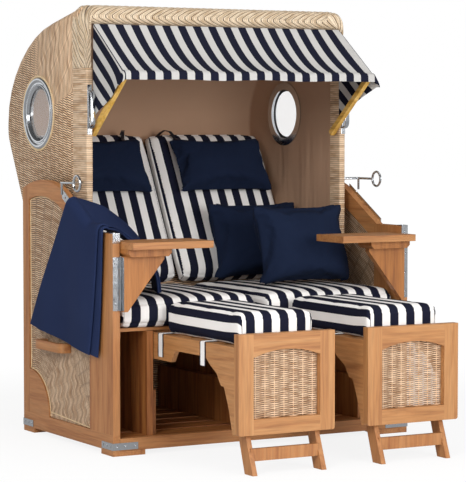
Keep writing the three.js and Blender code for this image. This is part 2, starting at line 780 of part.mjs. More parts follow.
// The skirt below the profile: the ears round the pivots, then forward to the posts
function withSkirt(profile) {
  const ear = new THREE.Path();
  ear.absarc(pivotDepth, pivotHeight, earRadius, 0, -Math.PI, true);
  const skirt = ear.getPoints(5);
  skirt.push(new THREE.Vector2(pivotDepth - earNeckShare * earRadius, hoodSkirtHeight));
  skirt.push(new THREE.Vector2(shellFront, hoodSkirtHeight));
  return [...profile, ...skirt];
}

// The space inside: it runs out through the open front and bottom
function withMouth(profile) {
  const front = shellFront - overrun;
  const low = pivotHeight - earRadius - overrun;
  const first = profile[0];
  const last = profile[profile.length - 1];
  const drop = (last.y - low) * Math.tan(backLean);
  return [new THREE.Vector2(front, first.y + (shellFront - front) / 6), ...profile.slice(0, -1),
    new THREE.Vector2(last.x - drop, low), new THREE.Vector2(front, low)];
}

const portholeHole = bar([-hoodWidth, portholeDepth, portholeHeight], [hoodWidth, portholeDepth, portholeHeight],
  portholeTubeRadius + seatGap, roundSides);
const cavityReach = halfHood - hoodWall;
const cavityEdge = hoodEdgeRadius - hoodWall;
const earHole = bar([-hoodWidth, pivotDepth, pivotHeight], [hoodWidth, pivotDepth, pivotHeight],
  pivotPinRadius + seatGap, 16);
const shell = cut(
  hoodBody(halfHood, hoodEdgeRadius, 0, withSkirt),
  hoodBody(cavityReach, cavityEdge, hoodWall, withMouth),
  box(-cavityReach, cavityReach, leanBaseDepth / 2, sideDepth + overrun, 0, rearWallBottom),
  portholeHole,
  earHole,
);
add("hood_shell", shell, wicker);

// Lining inside the shell, open at the front and below the skirt line
const liningReach = cavityReach - seatGap;
const liningInset = hoodWall + seatGap;
const lining = cut(
  hoodBody(liningReach, cavityEdge, liningInset, withMouth),
  hoodBody(liningReach - liningThickness, cavityEdge, liningInset + liningThickness, withMouth),
  box(-hoodWidth, hoodWidth, 0, shellFront, 0, 2 * hoodHeight),
  box(-hoodWidth, hoodWidth, 0, 2 * hoodBack, 0, hoodSkirtHeight + runGap),
  portholeHole,
);
add("hood_lining", lining, liningCloth);

// Braided rim over the front edge, and the cane-wrapped posts below it
const rimOuter = halfHood + seatGap;
const rimInner = rimOuter - rimSideWidth;
const rim = new THREE.Shape();
rim.moveTo(rimInner, rimBottom);
rim.lineTo(rimOuter, rimBottom);
rim.lineTo(rimOuter, hoodHeight - rimCorner);
rim.quadraticCurveTo(rimOuter, hoodHeight, rimOuter - rimCorner, hoodHeight);
rim.lineTo(-rimOuter + rimCorner, hoodHeight);
rim.quadraticCurveTo(-rimOuter, hoodHeight, -rimOuter, hoodHeight - rimCorner);
rim.lineTo(-rimOuter, rimBottom);
rim.lineTo(-rimInner, rimBottom);
rim.lineTo(-rimInner, hoodHeight - rimTopHeight);
rim.lineTo(rimInner, hoodHeight - rimTopHeight);
add("hood_rim", plateY(rim, hoodFront, rimBack, 6), braid);

for (const [name, side] of sides) {
  const inside = halfHood - postWidth;
  const shape = new THREE.Shape();
  shape.moveTo(inside + postCorner, hoodFront);
  shape.lineTo(halfHood - postCorner, hoodFront);
  shape.quadraticCurveTo(halfHood, hoodFront, halfHood, hoodFront + postCorner);
  shape.lineTo(halfHood, rimBack);
  shape.lineTo(inside, rimBack);
  shape.lineTo(inside, hoodFront + postCorner);
  shape.quadraticCurveTo(inside, hoodFront, inside + postCorner, hoodFront);
  const hole = bar([inside - overrun, awningPivotDepth, awningPivotHeight],
    [inside + awningPinReach + embed, awningPivotDepth, awningPivotHeight], awningPinRadius + legPinHoleGap);
  add(`hood_post_${name}`, sided(cut(plateZ(shape, hoodSkirtHeight, rimBottom - seatGap, 3), hole), side), cane);
}

// Portholes: a flanged ring through the wall and a clear pane
const liningFace = liningReach - liningThickness;
function turned(profile) {
  const solid = new THREE.LatheGeometry(profile.map(([r, x]) => new THREE.Vector2(r, x)), roundSides);
  return place(solid, Z, X, Y).translate(0, portholeDepth, portholeHeight);
}
for (const [name, side] of sides) {
  const bore = portholeTubeRadius - portholeTubeWall;
  const face = halfHood + seatGap;
  const inside = liningFace - seatGap;
  const bead = portholeFlangeThickness / 2;
  const ring = turned([
    [bore, inside - portholeInnerFlangeThickness], [portholeInnerFlangeRadius, inside - portholeInnerFlangeThickness],
    [portholeInnerFlangeRadius, inside], [portholeTubeRadius, inside], [portholeTubeRadius, face],
    [portholeFlangeRadius, face], [portholeFlangeRadius - bead, face + bead],
    [bore + portholeTubeWall, face + portholeFlangeThickness], [bore, face + bead],
    [bore, inside - portholeInnerFlangeThickness],
  ]);
  add(`porthole_ring_${name}`, sided(ring, side), steel);
  const middle = halfHood - hoodWall / 2;
  const pane = turned([[0, middle - paneThickness / 2], [bore - seatGap, middle - paneThickness / 2],
    [bore - seatGap, middle + paneThickness / 2], [0, middle + paneThickness / 2]]);
  add(`porthole_pane_${name}`, sided(pane, side), clearPane);
}

// Grab handles on the fronts of the posts
const grabPlace = halfHood - grabInset;
for (const [name, side] of sides) {
  const skin = hoodFront - seatGap;
  const out = skin - grabStandOff;
  const corner = (grabTop - grabBottom) / 5;
  const shape = new THREE.Shape();
  shape.moveTo(skin, grabTop);
  shape.quadraticCurveTo(out, grabTop, out, grabTop - corner);
  shape.lineTo(out, grabBottom + corner);
  shape.quadraticCurveTo(out, grabBottom, skin, grabBottom);
  const hole = new THREE.Shape();
  const t = grabThickness;
  hole.moveTo(skin - t, grabTop - t);
  hole.quadraticCurveTo(out + t, grabTop - t, out + t, grabTop - corner);
  hole.lineTo(out + t, grabBottom + corner);
  hole.quadraticCurveTo(out + t, grabBottom + t, skin - t, grabBottom + t);
  shape.holes.push(new THREE.Path(hole.getPoints(5)));
  add(`grab_handle_${name}`, plateX(shape, side * (grabPlace - grabBand / 2), side * (grabPlace + grabBand / 2), 5),
    steel);
}

// Backrest board, back pads and neck pillows lean along the hood's straight rear wall.
// along runs up the wall, off runs from its outer face towards the sitter.
function leaned(geometry, x, along, off) {
  geometry.rotateX(Math.PI / 2 - backLean);
  const y = leanBaseDepth + along * leanAlong.x - off * leanAlong.y;
  const z = leanBaseHeight + along * leanAlong.y + off * leanAlong.x;
  return geometry.translate(x, y, z);
}
const boardOff = liningInset + liningThickness + seatGap;
const boardStart = (hoodSkirtHeight + runGap - leanBaseHeight - boardOff * leanAlong.x) / leanAlong.y;
const boardEnd = padStart + padLength;
const padOff = boardOff + boardThickness + seatGap;
const boardReach = liningFace - padSideGap;
add("backrest_board", leaned(
  new THREE.BoxGeometry(2 * boardReach, boardEnd - boardStart, boardThickness),
  0, (boardStart + boardEnd) / 2, boardOff + boardThickness / 2), plywood);
for (const [name, side] of sides) {
  const width = boardReach - padHalfGap;
  const pad = cushion({ width, depth: padLength, height: padThickness - padCrown, round: padRound,
    seam: padThickness / 2, crown: padCrown, drawShare: 0.012, columns: 8, rows: 8, flat: true });
  add(`back_pad_${name}`, leaned(pad, side * (padHalfGap + width / 2), padStart + padLength / 2,
    padOff + (padThickness - padCrown) / 2), stripedCloth);
  const neckWidth = width - 2 * neckSideGap;
  const pillow = cushion({ width: neckWidth, depth: neckLength, height: neckThickness, round: neckWidth,
    seam: neckThickness / 10, crown: 0, drawShare: 0.04, columns: 10, rows: 6 });
  const pillowOff = padOff + padThickness - neckSink + neckThickness / 2;
  add(`neck_pillow_${name}`, leaned(pillow, side * (padHalfGap + width / 2 + neckShift),
    boardEnd - neckTopGap - neckLength / 2, pillowOff), navyCloth);
}

// Awning: a frame of two arms and a front bar that turns on pins in the posts, and its cloth
const armOuter = halfHood - postWidth - awningArmGap;
const armInner = armOuter - awningArmThickness;
const armRun = new THREE.Vector2(awningBarDepth - awningPivotDepth, awningBarHeight - awningPivotHeight);
const awningArms = sides.flatMap(([, side]) => {
  const half = awningArmWidth / 2;
  const arm = box(armInner, armOuter, -half, armRun.length(), -half, half);
  arm.rotateX(armRun.angle());
  arm.translate(0, awningPivotDepth, awningPivotHeight);
  const pin = bar([armInner + half, awningPivotDepth, awningPivotHeight],
    [armOuter + awningArmGap + awningPinReach, awningPivotDepth, awningPivotHeight], awningPinRadius);
  return [sided(arm, side), sided(pin, side)];
});
const barReach = armInner + awningArmThickness / 2;
const frontBar = bar([-barReach, awningBarDepth, awningBarHeight], [barReach, awningBarDepth, awningBarHeight],
  awningBarRadius, 12);
add("awning_frame", join(...awningArms, frontBar), paleWood);

const awningEdge = armOuter + awningCloth + 2 * seatGap;
const awningFore = awningBarDepth - awningArmWidth;
function awningLine() {
  const rear = new THREE.Vector2(hoodFront + runGap, hoodHeight - rimTopHeight - seatGap);
  const over = new THREE.Vector2(awningBarDepth, awningBarHeight + awningArmWidth / 2 + awningCloth + seatGap);
  const steps = 6;
  const line = Array.from({ length: steps + 1 }, (_, i) => {
    const t = i / steps;
    return { at: rear.clone().lerp(over, t), sag: 4 * awningSag * t * (1 - t), t };
  });
  line.push({ at: new THREE.Vector2(awningFore, awningBarHeight + awningArmWidth / 4), sag: 0, t: 1 });
  return line;
}

function awningCanopy() {
  const line = awningLine();
  const fore = line[line.length - 1].at;
  line.push({ at: new THREE.Vector2(fore.x, fore.y - awningHem), sag: 0, t: 1 });
  const columns = 10;
  const outer = line.reverse().map(({ at, sag }) => Array.from({ length: columns + 1 }, (_, k) => {
    const across = -1 + (2 * k) / columns;
    return new THREE.Vector3(awningEdge * across, at.x, at.y - sag * (1 - across ** 4));
  }));
  return sheetBetween(outer, pushedIn(outer, awningCloth));
}

// The flap hangs from the canopy's edge and swells out a little towards the front
function awningFlap() {
  const columns = 3;
  const outer = awningLine().reverse().map(({ at, t }) => {
    const low = flapRearBottom + (flapFrontBottom - flapRearBottom) * t;
    const high = at.y - awningCloth / 3;
    return Array.from({ length: columns + 1 }, (_, k) => {
      const share = k / columns;
      const out = flapBulge * Math.sin((Math.PI * share) / 2) * t;
      return new THREE.Vector3(awningEdge + out, at.x, high + (low - high) * share);
    });
  });
  return sheetBetween(outer, pushedIn(outer, awningCloth));
}
const flap = awningFlap();
add("awning_cloth", join(awningCanopy(), flap, mirrored(flap)), stripedCloth);

// Footrests, drawn out, with their legs down
const footrestWidth = footrestOuter - footrestInner;
const archPoints = 8;
function footrestOpening() {
  const x0 = footrestInner + footrestStile;
  const x1 = footrestOuter - footrestStile;
  const shape = new THREE.Shape();
  shape.moveTo(x0, footrestBottom + footrestRail);
  shape.lineTo(x1, footrestBottom + footrestRail);
  shape.lineTo(x1, footrestArchSpring);
  shape.quadraticCurveTo((x0 + x1) / 2, footrestArchSpring + 2 * footrestArchRise, x0, footrestArchSpring);
  return shape;
}

function footrestFrame() {
  const shape = new THREE.Shape();
  shape.moveTo(footrestInner + footrestCorner, footrestBottom);
  shape.lineTo(footrestOuter - footrestCorner, footrestBottom);
  shape.quadraticCurveTo(footrestOuter, footrestBottom, footrestOuter, footrestBottom + footrestCorner);
  shape.lineTo(footrestOuter, footrestTop);
  shape.lineTo(footrestInner, footrestTop);
  shape.lineTo(footrestInner, footrestBottom + footrestCorner);
  shape.quadraticCurveTo(footrestInner, footrestBottom, footrestInner + footrestCorner, footrestBottom);
  shape.holes.push(new THREE.Path(footrestOpening().getPoints(archPoints)));
  const front = plateY(shape, footrestFront, footrestRear, archPoints);
  const legOuter = [footrestInner + legInset, footrestOuter - legInset];
  const cleats = legOuter.map((x, i) => {
    const away = i === 0 ? -1 : 1;
    return box(x + away * seatGap, x + away * (seatGap + cleatWidth), footrestRear - overrun / 4,
      footrestRear + cleatDepth, legPivotHeight - cleatHeight / 3, legPivotHeight + (2 * cleatHeight) / 3);
  });
  const holes = legOuter.map((x, i) => {
    const away = i === 0 ? -1 : 1;
    return bar([x - away * overrun, legPivotDepth, legPivotHeight],
      [x + away * (cleatWidth + overrun), legPivotDepth, legPivotHeight], legPinRadius + legPinHoleGap, 10);
  });
  const slatFront = footrestRear + footSlatWidth / 2;
  const slatBack = boardRear - footSlatWidth / 2;
  const slatPitch = (slatBack - footSlatWidth - slatFront) / (footSlatCount - 1);
  const slats = Array.from({ length: footSlatCount }, (_, i) => box(
    footrestInner + boardWidth / 2, footrestOuter - boardWidth / 2, slatFront + i * slatPitch,
    slatFront + i * slatPitch + footSlatWidth, boardTop - slatThickness, boardTop));
  const boards = [
    sideBoard(footrestInner, footrestInner + boardWidth),
    sideBoard(footrestOuter - boardWidth, footrestOuter),
  ];
  return cut(join(front, ...boards, ...slats, ...cleats), ...holes);
}

// The side board's lower edge as shares of its length behind the front frame and of its height
const boardEdgeShares = [
  [0, 0], [0.016, 0], [0.054, 0.306], [0.096, 0.53], [0.124, 0.533], [0.132, 0.557], [0.165, 0.669],
  [0.223, 0.744], [0.27, 0.832], [0.567, 0.832], [0.608, runnerShare], [1, runnerShare],
];
const boardStartDepth = footrestRear - embed;
const boardLength = boardRear - boardStartDepth;
function sideBoard(x0, x1) {
  const height = boardTop - footrestBottom;
  const points = boardEdgeShares.map(([a, b]) => [boardStartDepth + a * boardLength, footrestBottom + b * height]);
  return plateX(polygon([...points, [boardRear, boardTop], [boardStartDepth, boardTop]]), x0, x1);
}

function legFrame() {
  const foot = [[legFootFront, 0], [legFootFront + legFootDepth, 0]];
  const head = new THREE.Path();
  head.absarc(legPivotDepth, legPivotHeight, legHeadRadius, legHeadStart, legHeadEnd, false);
  const shape = polygon([...foot, ...head.getPoints(5).map((p) => [p.x, p.y])]);
  const innerLeg = footrestInner + legInset;
  const outerLeg = footrestOuter - legInset;
  const front = legFootFront + legFootDepth / 2;
  const legPieces = [
    plateX(shape, innerLeg, innerLeg + legThickness),
    plateX(shape, outerLeg - legThickness, outerLeg),
    box(innerLeg + legThickness / 2, outerLeg - legThickness / 2, front, front + legRailThickness,
      legRailBottom, legRailBottom + legRailHeight),
    bar([innerLeg - cleatWidth, legPivotDepth, legPivotHeight], [innerLeg + legThickness / 2, legPivotDepth,
      legPivotHeight], legPinRadius, 10),
    bar([outerLeg - legThickness / 2, legPivotDepth, legPivotHeight], [outerLeg + cleatWidth, legPivotDepth,
      legPivotHeight], legPinRadius, 10),
  ];
  return join(...legPieces);
}

for (const [name, side] of sides) {
  add(`footrest_frame_${name}`, sided(footrestFrame(), side), oiledWood);
  const infillBack = footrestRear - footWickerRecess;
  const infill = plateY(shrunk(footrestOpening(), seatGap, archPoints), infillBack - infillThickness, infillBack);
  add(`footrest_wicker_${name}`, sided(infill, side), wicker);
  add(`footrest_legs_${name}`, sided(legFrame(), side), oiledWood);

  // Each pad has two straps sewn under it that come down outside the boards. Both pads lie
  // towards the chair's left side, as they were put down.
  const panelLeft = side > 0 ? footrestInner : -footrestOuter;
  const padLow = boardTop + seatGap;
  const padFront = footrestRear + footPadEndGap;
  const padDepth = -footPadEndGap - padFront;
  const padHeight = footPadTop - padLow - padCrown;
  const pad = cushion({ width: footPadWidth, depth: padDepth, height: padHeight, round: padRound,
    seam: padHeight / 2, crown: padCrown, drawShare: 0.012, columns: 8, rows: 8, flat: true });
  const padLeft = panelLeft + footPadSideGap;
  pad.translate(padLeft + footPadWidth / 2, padFront + padDepth / 2, padLow + padHeight / 2);
  const straps = strapDepths.flatMap((depth) => {
    const low = panelLeft - seatGap;
    const high = panelLeft + footrestWidth + seatGap;
    return [
      box(low - strapThickness, high + strapThickness, depth, depth + strapWidth, padLow, padLow + strapThickness),
      box(low - strapThickness, low, depth, depth + strapWidth, strapBottom, padLow + strapThickness),
      box(high, high + strapThickness, depth, depth + strapWidth, strapBottom, padLow + strapThickness),
    ];
  });
  add(`footrest_pad_${name}`, join(pad, ...straps), stripedCloth);
}

// Side tables on hinges at the inner corners of the arm fronts
const tableOuter = innerFace - tableOuterGap;
const barrelX = innerFace + hingeSetOut;
const barrelY = -hingeStandOff;
const bracketTop = tableUnderside - seatGap - battenHeight;
const hingeBottom = bracketBottom + hingeBarrelRadius;
const hingeTop = bracketTop - hingeBarrelRadius;
const knuckle = (hingeTop - hingeBottom) / hingeKnuckles;
const knuckles = (moving) => Array.from({ length: hingeKnuckles }, (_, i) => i)
  .filter((i) => (i % 2 === 1) === moving)
  .map((i) => hingeBottom + i * knuckle);

function fixedLeaf() {
  const face = -seatGap;
  const back = face - hingeLeafThickness;
  const leafEdge = barrelX + hingeBarrelRadius + seatGap;
  const pieces = [box(leafEdge, halfBody - seatGap, back, face, hingeBottom, hingeTop)];
  for (const low of knuckles(false)) {
    pieces.push(bar([barrelX, barrelY, low], [barrelX, barrelY, low + knuckle - seatGap], hingeBarrelRadius));
    pieces.push(box(barrelX, leafEdge + embed, barrelY + hingeBarrelRadius / 2, face, low, low + knuckle - seatGap));
  }
  return join(...pieces);
}

function movingLeaf() {
  const x1 = barrelX - hingeBarrelRadius - seatGap;
  const x0 = x1 - hingeLeafThickness;
  const pieces = [box(x0, x1, -bracketThickness, barrelY + hingeBarrelRadius, hingeBottom, hingeTop)];
  for (const low of knuckles(true)) {
    pieces.push(bar([barrelX, barrelY, low], [barrelX, barrelY, low + knuckle - seatGap], hingeBarrelRadius));
    pieces.push(box(x0 + hingeLeafThickness / 2, barrelX, barrelY - knuckleWeb, barrelY + knuckleWeb, low, low + knuckle - seatGap));
  }
  return join(...pieces);
}

function tableBracket() {
  const outer = barrelX - hingeBarrelRadius - 2 * seatGap - hingeLeafThickness;
  const innerTop = outer - bracketTopWidth;
  const lip = battenHeight / 2;
  const shape = new THREE.Shape();
  shape.moveTo(outer - bracketFootWidth, bracketBottom);
  shape.lineTo(outer, bracketBottom);
  shape.lineTo(outer, bracketTop);
  shape.lineTo(innerTop, bracketTop);
  shape.lineTo(innerTop, bracketTop - lip);
  const [curveInShare, curveUpShare] = bracketCurveShares;
  shape.quadraticCurveTo(outer - curveInShare * bracketTopWidth,
    bracketBottom + curveUpShare * (bracketTop - bracketBottom), outer - bracketFootWidth, bracketBottom);
  const boardBack = -seatGap - bracketPlay;
  const board = plateY(shape, boardBack - bracketThickness, boardBack, 8);
  const end = tableOuter;
  const start = innerTop - battenChamfer;
  const low = bracketTop - embed;
  const batten = polygon([[start + battenChamfer, low], [end - battenChamfer, low], [end, low + battenChamfer],
    [end, tableUnderside - seatGap], [start, tableUnderside - seatGap], [start, low + battenChamfer]]);
  return join(board, plateY(batten, battenFront, battenBack));
}

for (const [name, side] of sides) {
  add(`table_hinge_post_leaf_${name}`, sided(fixedLeaf(), side), steel);
  add(`table_bracket_${name}`, sided(tableBracket(), side), oiledWood);
  add(`table_hinge_leaf_${name}`, sided(movingLeaf(), side), steel);
  const top = box(tableOuter - tableWidth, tableOuter, tableFront, tableFront + tableDepth, tableUnderside,
    tableUnderside + tableThickness);
  add(`table_top_${name}`, sided(top, side), oiledWood);
}

// Lock levers: a bent rod over the slope with a tooth at the back and a ring in front
function lockLever() {
  const skin = halfHood + seatGap;
  const out = halfHood + leverReach;
  const ring = new THREE.TorusGeometry(leverRingRadius, leverRodRadius, 6, 16);
  ring.rotateY(Math.PI / 2);
  ring.translate(out, leverDepth - leverLength - leverRingRadius, leverHeight);
  return join(
    bar([skin, leverDepth, leverHeight], [out, leverDepth, leverHeight], leverRodRadius),
    bar([out, leverDepth + leverRodRadius, leverHeight], [out, leverDepth - leverLength, leverHeight],
      leverRodRadius),
    bar([out, leverDepth, leverHeight + leverRodRadius / 2], [out, leverDepth, leverHeight - leverTooth],
      leverRodRadius),
    ring,
  );
}
for (const [name, side] of sides) add(`lock_lever_${name}`, sided(lockLever(), side), steel);

// The folded throw: it hangs outside, goes over the slope and drops onto the seat.
// Each column runs from the rear edge to the front edge, each row goes round the arm.
function throwGrid() {
  const skin = halfBody + seatGap + stripThickness;
  const ridge = (y) => Math.max(slopeHeight(y), armHeight) + stripProud * slopeLean + seatGap;
  const between = (rear, front, v) => rear + (front - rear) * v;
  const columns = 9;
  const hangs = throwHangShares.length;
  const rows = [];
  for (let i = 0; i < hangs + 1 + throwInwardShares.length; i += 1) {
    const row = [];
    for (let j = 0; j <= columns; j += 1) {
      const v = j / columns;
      const bottomY = between(throwRearBottomDepth, throwFrontBottomDepth, v);
      const bottomZ = between(throwRearBottomHeight, throwFrontBottomHeight, v);
      const topY = between(throwRearTopDepth, throwFrontTopDepth, v);
      const crest = ridge(topY);
      if (i < hangs) {
        const t = throwHangShares[i];
        const wave = throwFold * Math.sin(Math.PI * (3 * v + t)) * (1 - t);
        row.push(new THREE.Vector3(-(skin + throwFold + wave), bottomY + (topY - bottomY) * t,
          bottomZ + (crest - bottomZ) * t));
      } else if (i === hangs) {
        row.push(new THREE.Vector3(-(halfBody - sideThickness / 2), topY, crest));
      } else {
        const [inward, down] = throwInwardShares[i - hangs - 1];
        const restZ = seatCushionTop + padCrown + runGap;
        const inY = throwInnerFrontDepth + (topY - throwFrontTopDepth) * throwInnerShare;
        const y = topY + (inY - topY) * Math.min(inward * 4, 1);
        const reach = throwInwardReach * (1 - throwTaperShare * v);
        row.push(new THREE.Vector3(-(innerFace - reach * inward), y, crest - (crest - restZ) * down));
      }
    }
    rows.push(row);
  }
  return rows;
}
const throwInner = throwGrid();
const throwOuter = pushedIn(throwInner, -throwThickness);
add("folded_throw", sheetBetween(throwOuter, throwInner), navyCloth);

// The origin goes under the middle of the chair, on the ground
const part = new THREE.Group();
chair.position.set(0, -(hoodBack + legFootFront) / 2, 0);
part.add(chair);

export default part;
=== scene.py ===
import math
from functools import partial
import bmesh
import bpy
from mathutils import Euler, Matrix, Vector, noise


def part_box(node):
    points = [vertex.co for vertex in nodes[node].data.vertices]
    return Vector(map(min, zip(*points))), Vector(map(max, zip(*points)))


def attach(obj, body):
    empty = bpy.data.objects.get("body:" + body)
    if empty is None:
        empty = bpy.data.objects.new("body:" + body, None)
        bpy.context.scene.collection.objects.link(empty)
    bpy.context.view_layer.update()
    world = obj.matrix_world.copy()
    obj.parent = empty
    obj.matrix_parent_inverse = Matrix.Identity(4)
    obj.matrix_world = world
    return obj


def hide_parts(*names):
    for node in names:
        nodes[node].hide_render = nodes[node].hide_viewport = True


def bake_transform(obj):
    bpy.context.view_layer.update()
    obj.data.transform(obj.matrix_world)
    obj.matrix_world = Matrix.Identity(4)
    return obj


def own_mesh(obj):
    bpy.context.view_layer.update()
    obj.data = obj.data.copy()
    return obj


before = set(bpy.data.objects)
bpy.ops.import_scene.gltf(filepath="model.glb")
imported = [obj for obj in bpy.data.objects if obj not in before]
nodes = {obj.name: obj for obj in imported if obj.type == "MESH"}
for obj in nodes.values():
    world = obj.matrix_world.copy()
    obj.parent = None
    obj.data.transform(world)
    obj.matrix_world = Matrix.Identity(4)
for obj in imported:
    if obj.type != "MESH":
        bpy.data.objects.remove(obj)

scene = bpy.context.scene
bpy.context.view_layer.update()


# Studio: a white paper sweep, a soft light at each side and one above. The camera stands a
# little above the arms, to the front left, and looks slightly down through a long lens. The
# paper keeps the chair's shadow near it and is plain white further off. The room's ceiling
# and two of its walls are dark in the steel's reflections.
CAMERA_PLACE = Vector((-3.926, -6.960, 1.177))
CAMERA_AZIMUTH = math.radians(29.407)
CAMERA_PITCH = math.radians(3.189)
LENS_MM = 160.147
SENSOR_MM = 36.0
PAPER_SHADE_SHARE, SHADE_NEAR, SHADE_FAR = 0.16, 1.5, 2.8
PAPER_MIRRORED = 0.4
AMBIENT = 0.48
CEILING_FROM, CEILING_TO, CEILING_DARK = 0.2, 0.5, 0.9
WALL_WAY, WALL_FROM, WALL_TO, WALL_DARK = Vector((0.87, 0.49, 0)), 0.5, 0.9, 0.75

camera_data = bpy.data.cameras.new("camera")
camera_data.sensor_fit = "VERTICAL"
camera_data.sensor_height = SENSOR_MM
camera_data.lens = LENS_MM
camera = bpy.data.objects.new("camera", camera_data)
camera.location = CAMERA_PLACE
camera.rotation_euler = Euler((math.pi / 2 - CAMERA_PITCH, 0, -CAMERA_AZIMUTH))
scene.collection.objects.link(camera)
scene.camera = camera
scene.view_settings.view_transform = "Standard"


def linear(hex_colour):
    """An sRGB hex colour as linear RGBA."""
    values = [int(hex_colour[i:i + 2], 16) / 255 for i in (1, 3, 5)]
    return (*[v / 12.92 if v <= 0.04045 else ((v + 0.055) / 1.055) ** 2.4 for v in values], 1.0)


def feed(receiver, key, value):
    """Links a socket to an input, or sets the input."""
    if isinstance(value, bpy.types.NodeSocket):
        receiver.id_data.links.new(value, receiver.inputs[key])
    else:
        receiver.inputs[key].default_value = value


def add_node(tree, kind, inputs=(), operation=None, out=0, **settings):
    """Adds a node, feeds its inputs in their order or by name, and gives one output or all."""
    made = tree.nodes.new("ShaderNode" + kind)
    if operation:
        made.operation = operation
    for key, value in settings.items():
        setattr(made, key, value)
    for key, value in inputs.items() if isinstance(inputs, dict) else enumerate(inputs):
        feed(made, key, value)
    return made.outputs if out is None else made.outputs[out]


def new_material(name):
    """A new material, its surface shader and what adds its nodes."""
    material = bpy.data.materials.new(name)
    material.use_nodes = True
    tree = material.node_tree
    return material, tree.nodes["Principled BSDF"], partial(add_node, tree)


bpy.ops.object.select_all(action="DESELECT")
bpy.ops.mesh.primitive_plane_add(size=60, location=(0, 0, 0))
paper = bpy.context.object
paper.name = "paper_floor"
paper_white, shader, node = new_material("white paper")
paper_out = paper_white.node_tree.nodes["Material Output"]
paper_white.node_tree.nodes.remove(shader)
seen = node("LightPath", out=None)
direct_or_mirrored = node("Math", (seen[0], seen[3]), "MAXIMUM")
seen_plainly = node("Math", (seen[0], seen[6]), "MAXIMUM")
glow_strength = node("MapRange", (seen_plainly, 0, 1, PAPER_MIRRORED, 1.02))
paper_spot = node("TexCoord", out=3)
from_chair = node("VectorMath", (paper_spot,), "LENGTH", out=1)
unshaded = node("MapRange", (from_chair, SHADE_NEAR, SHADE_FAR, 1 - PAPER_SHADE_SHARE, 1.0))
glow_share = node("Math", (direct_or_mirrored, unshaded), "MULTIPLY")
paper_lit = node("BsdfDiffuse", {"Color": linear("#f6f6f6")})
paper_glow = node("Emission", {"Color": (1, 1, 1, 1), "Strength": glow_strength})
feed(paper_out, "Surface", node("MixShader", (glow_share, paper_lit, paper_glow)))
paper.data.materials.append(paper_white)

world = bpy.data.worlds.new("studio")
world.use_nodes = True
scene.world = world
world.node_tree.nodes.clear()
node = partial(add_node, world.node_tree)
world_seen = node("LightPath", out=None)
world_first = node("Math", (world_seen[0], world_seen[3]), "MAXIMUM")
world_any = node("Math", (world_first, world_seen[6]), "MAXIMUM")
world_strength = node("MapRange", (world_any, 0, 1, AMBIENT, 1.0))
world_way = node("TexCoord", out=0)
world_up = node("SeparateXYZ", (world_way,), out=2)
world_dark = node("MapRange", (world_up, CEILING_FROM, CEILING_TO, 0, CEILING_DARK))
wall_side = node("VectorMath", (world_way, WALL_WAY), "DOT_PRODUCT", out=1)
wall_side = node("Math", (wall_side,), "ABSOLUTE")
wall_dark = node("MapRange", (wall_side, WALL_FROM, WALL_TO, 0, WALL_DARK))
world_dark = node("Math", (world_dark, wall_dark), "MAXIMUM")
mirrored = node("Math", (world_seen[3], world_seen[5]), "MULTIPLY")
mirrored_dark = node("Math", (mirrored, world_dark), "MULTIPLY")
mirrored_dark = node("Math", (mirrored_dark, world_strength), "MULTIPLY")
world_strength = node("Math", (world_strength, mirrored_dark), "SUBTRACT")
world_back = node("Background", {"Color": (1, 1, 1, 1), "Strength": world_strength})
node("OutputWorld", {"Surface": world_back}, out=None)


def soft_light(name, place, target, size, watts):
    lamp = bpy.data.lights.new(name, "AREA")
    lamp.shape = "RECTANGLE"
    lamp.size, lamp.size_y = size
    lamp.energy = watts
    holder = bpy.data.objects.new(name, lamp)
    holder.location = place
    holder.rotation_euler = (Vector(target) - Vector(place)).to_track_quat("-Z", "Y").to_euler()
    scene.collection.objects.link(holder)


soft_light("light_left", (-3.4, -2.6, 2.6), (0, -0.1, 0.8), (1.8, 1.8), 84)
soft_light("light_front", (0.4, -5.2, 1.6), (0, 0, 0.9), (2.4, 1.8), 140)
soft_light("light_top", (0.2, -0.6, 4.2), (0, 0.1, 0.6), (2.6, 2.6), 18)


# Side frames, rails, floor, partitions and rear frame: planed and sanded hardwood boards,
# oiled to a warm low sheen, with their edges broken by hand. The grain runs along each
# board, so a frame's stiles and rails are told apart by their places.
WOOD_LIGHT, WOOD_MID, WOOD_DEEP = "#b98250", "#ad7342", "#985e33"
FRONT_STILE, REAR_STILE, BOTTOM_RAIL = 0.188, 0.055, 0.075
GRAIN_ACROSS, GRAIN_ALONG = 34.0, 1.9
GRAIN_DEEP, GRAIN_MID, GRAIN_LIGHT = 0.33, 0.47, 0.68
BROKEN_EDGE, PORE_DEPTH = 0.0016, 0.0006
SIDES = (("left", -1), ("right", 1))
AS_COLOUR = {"out": 2, "data_type": "RGBA"}


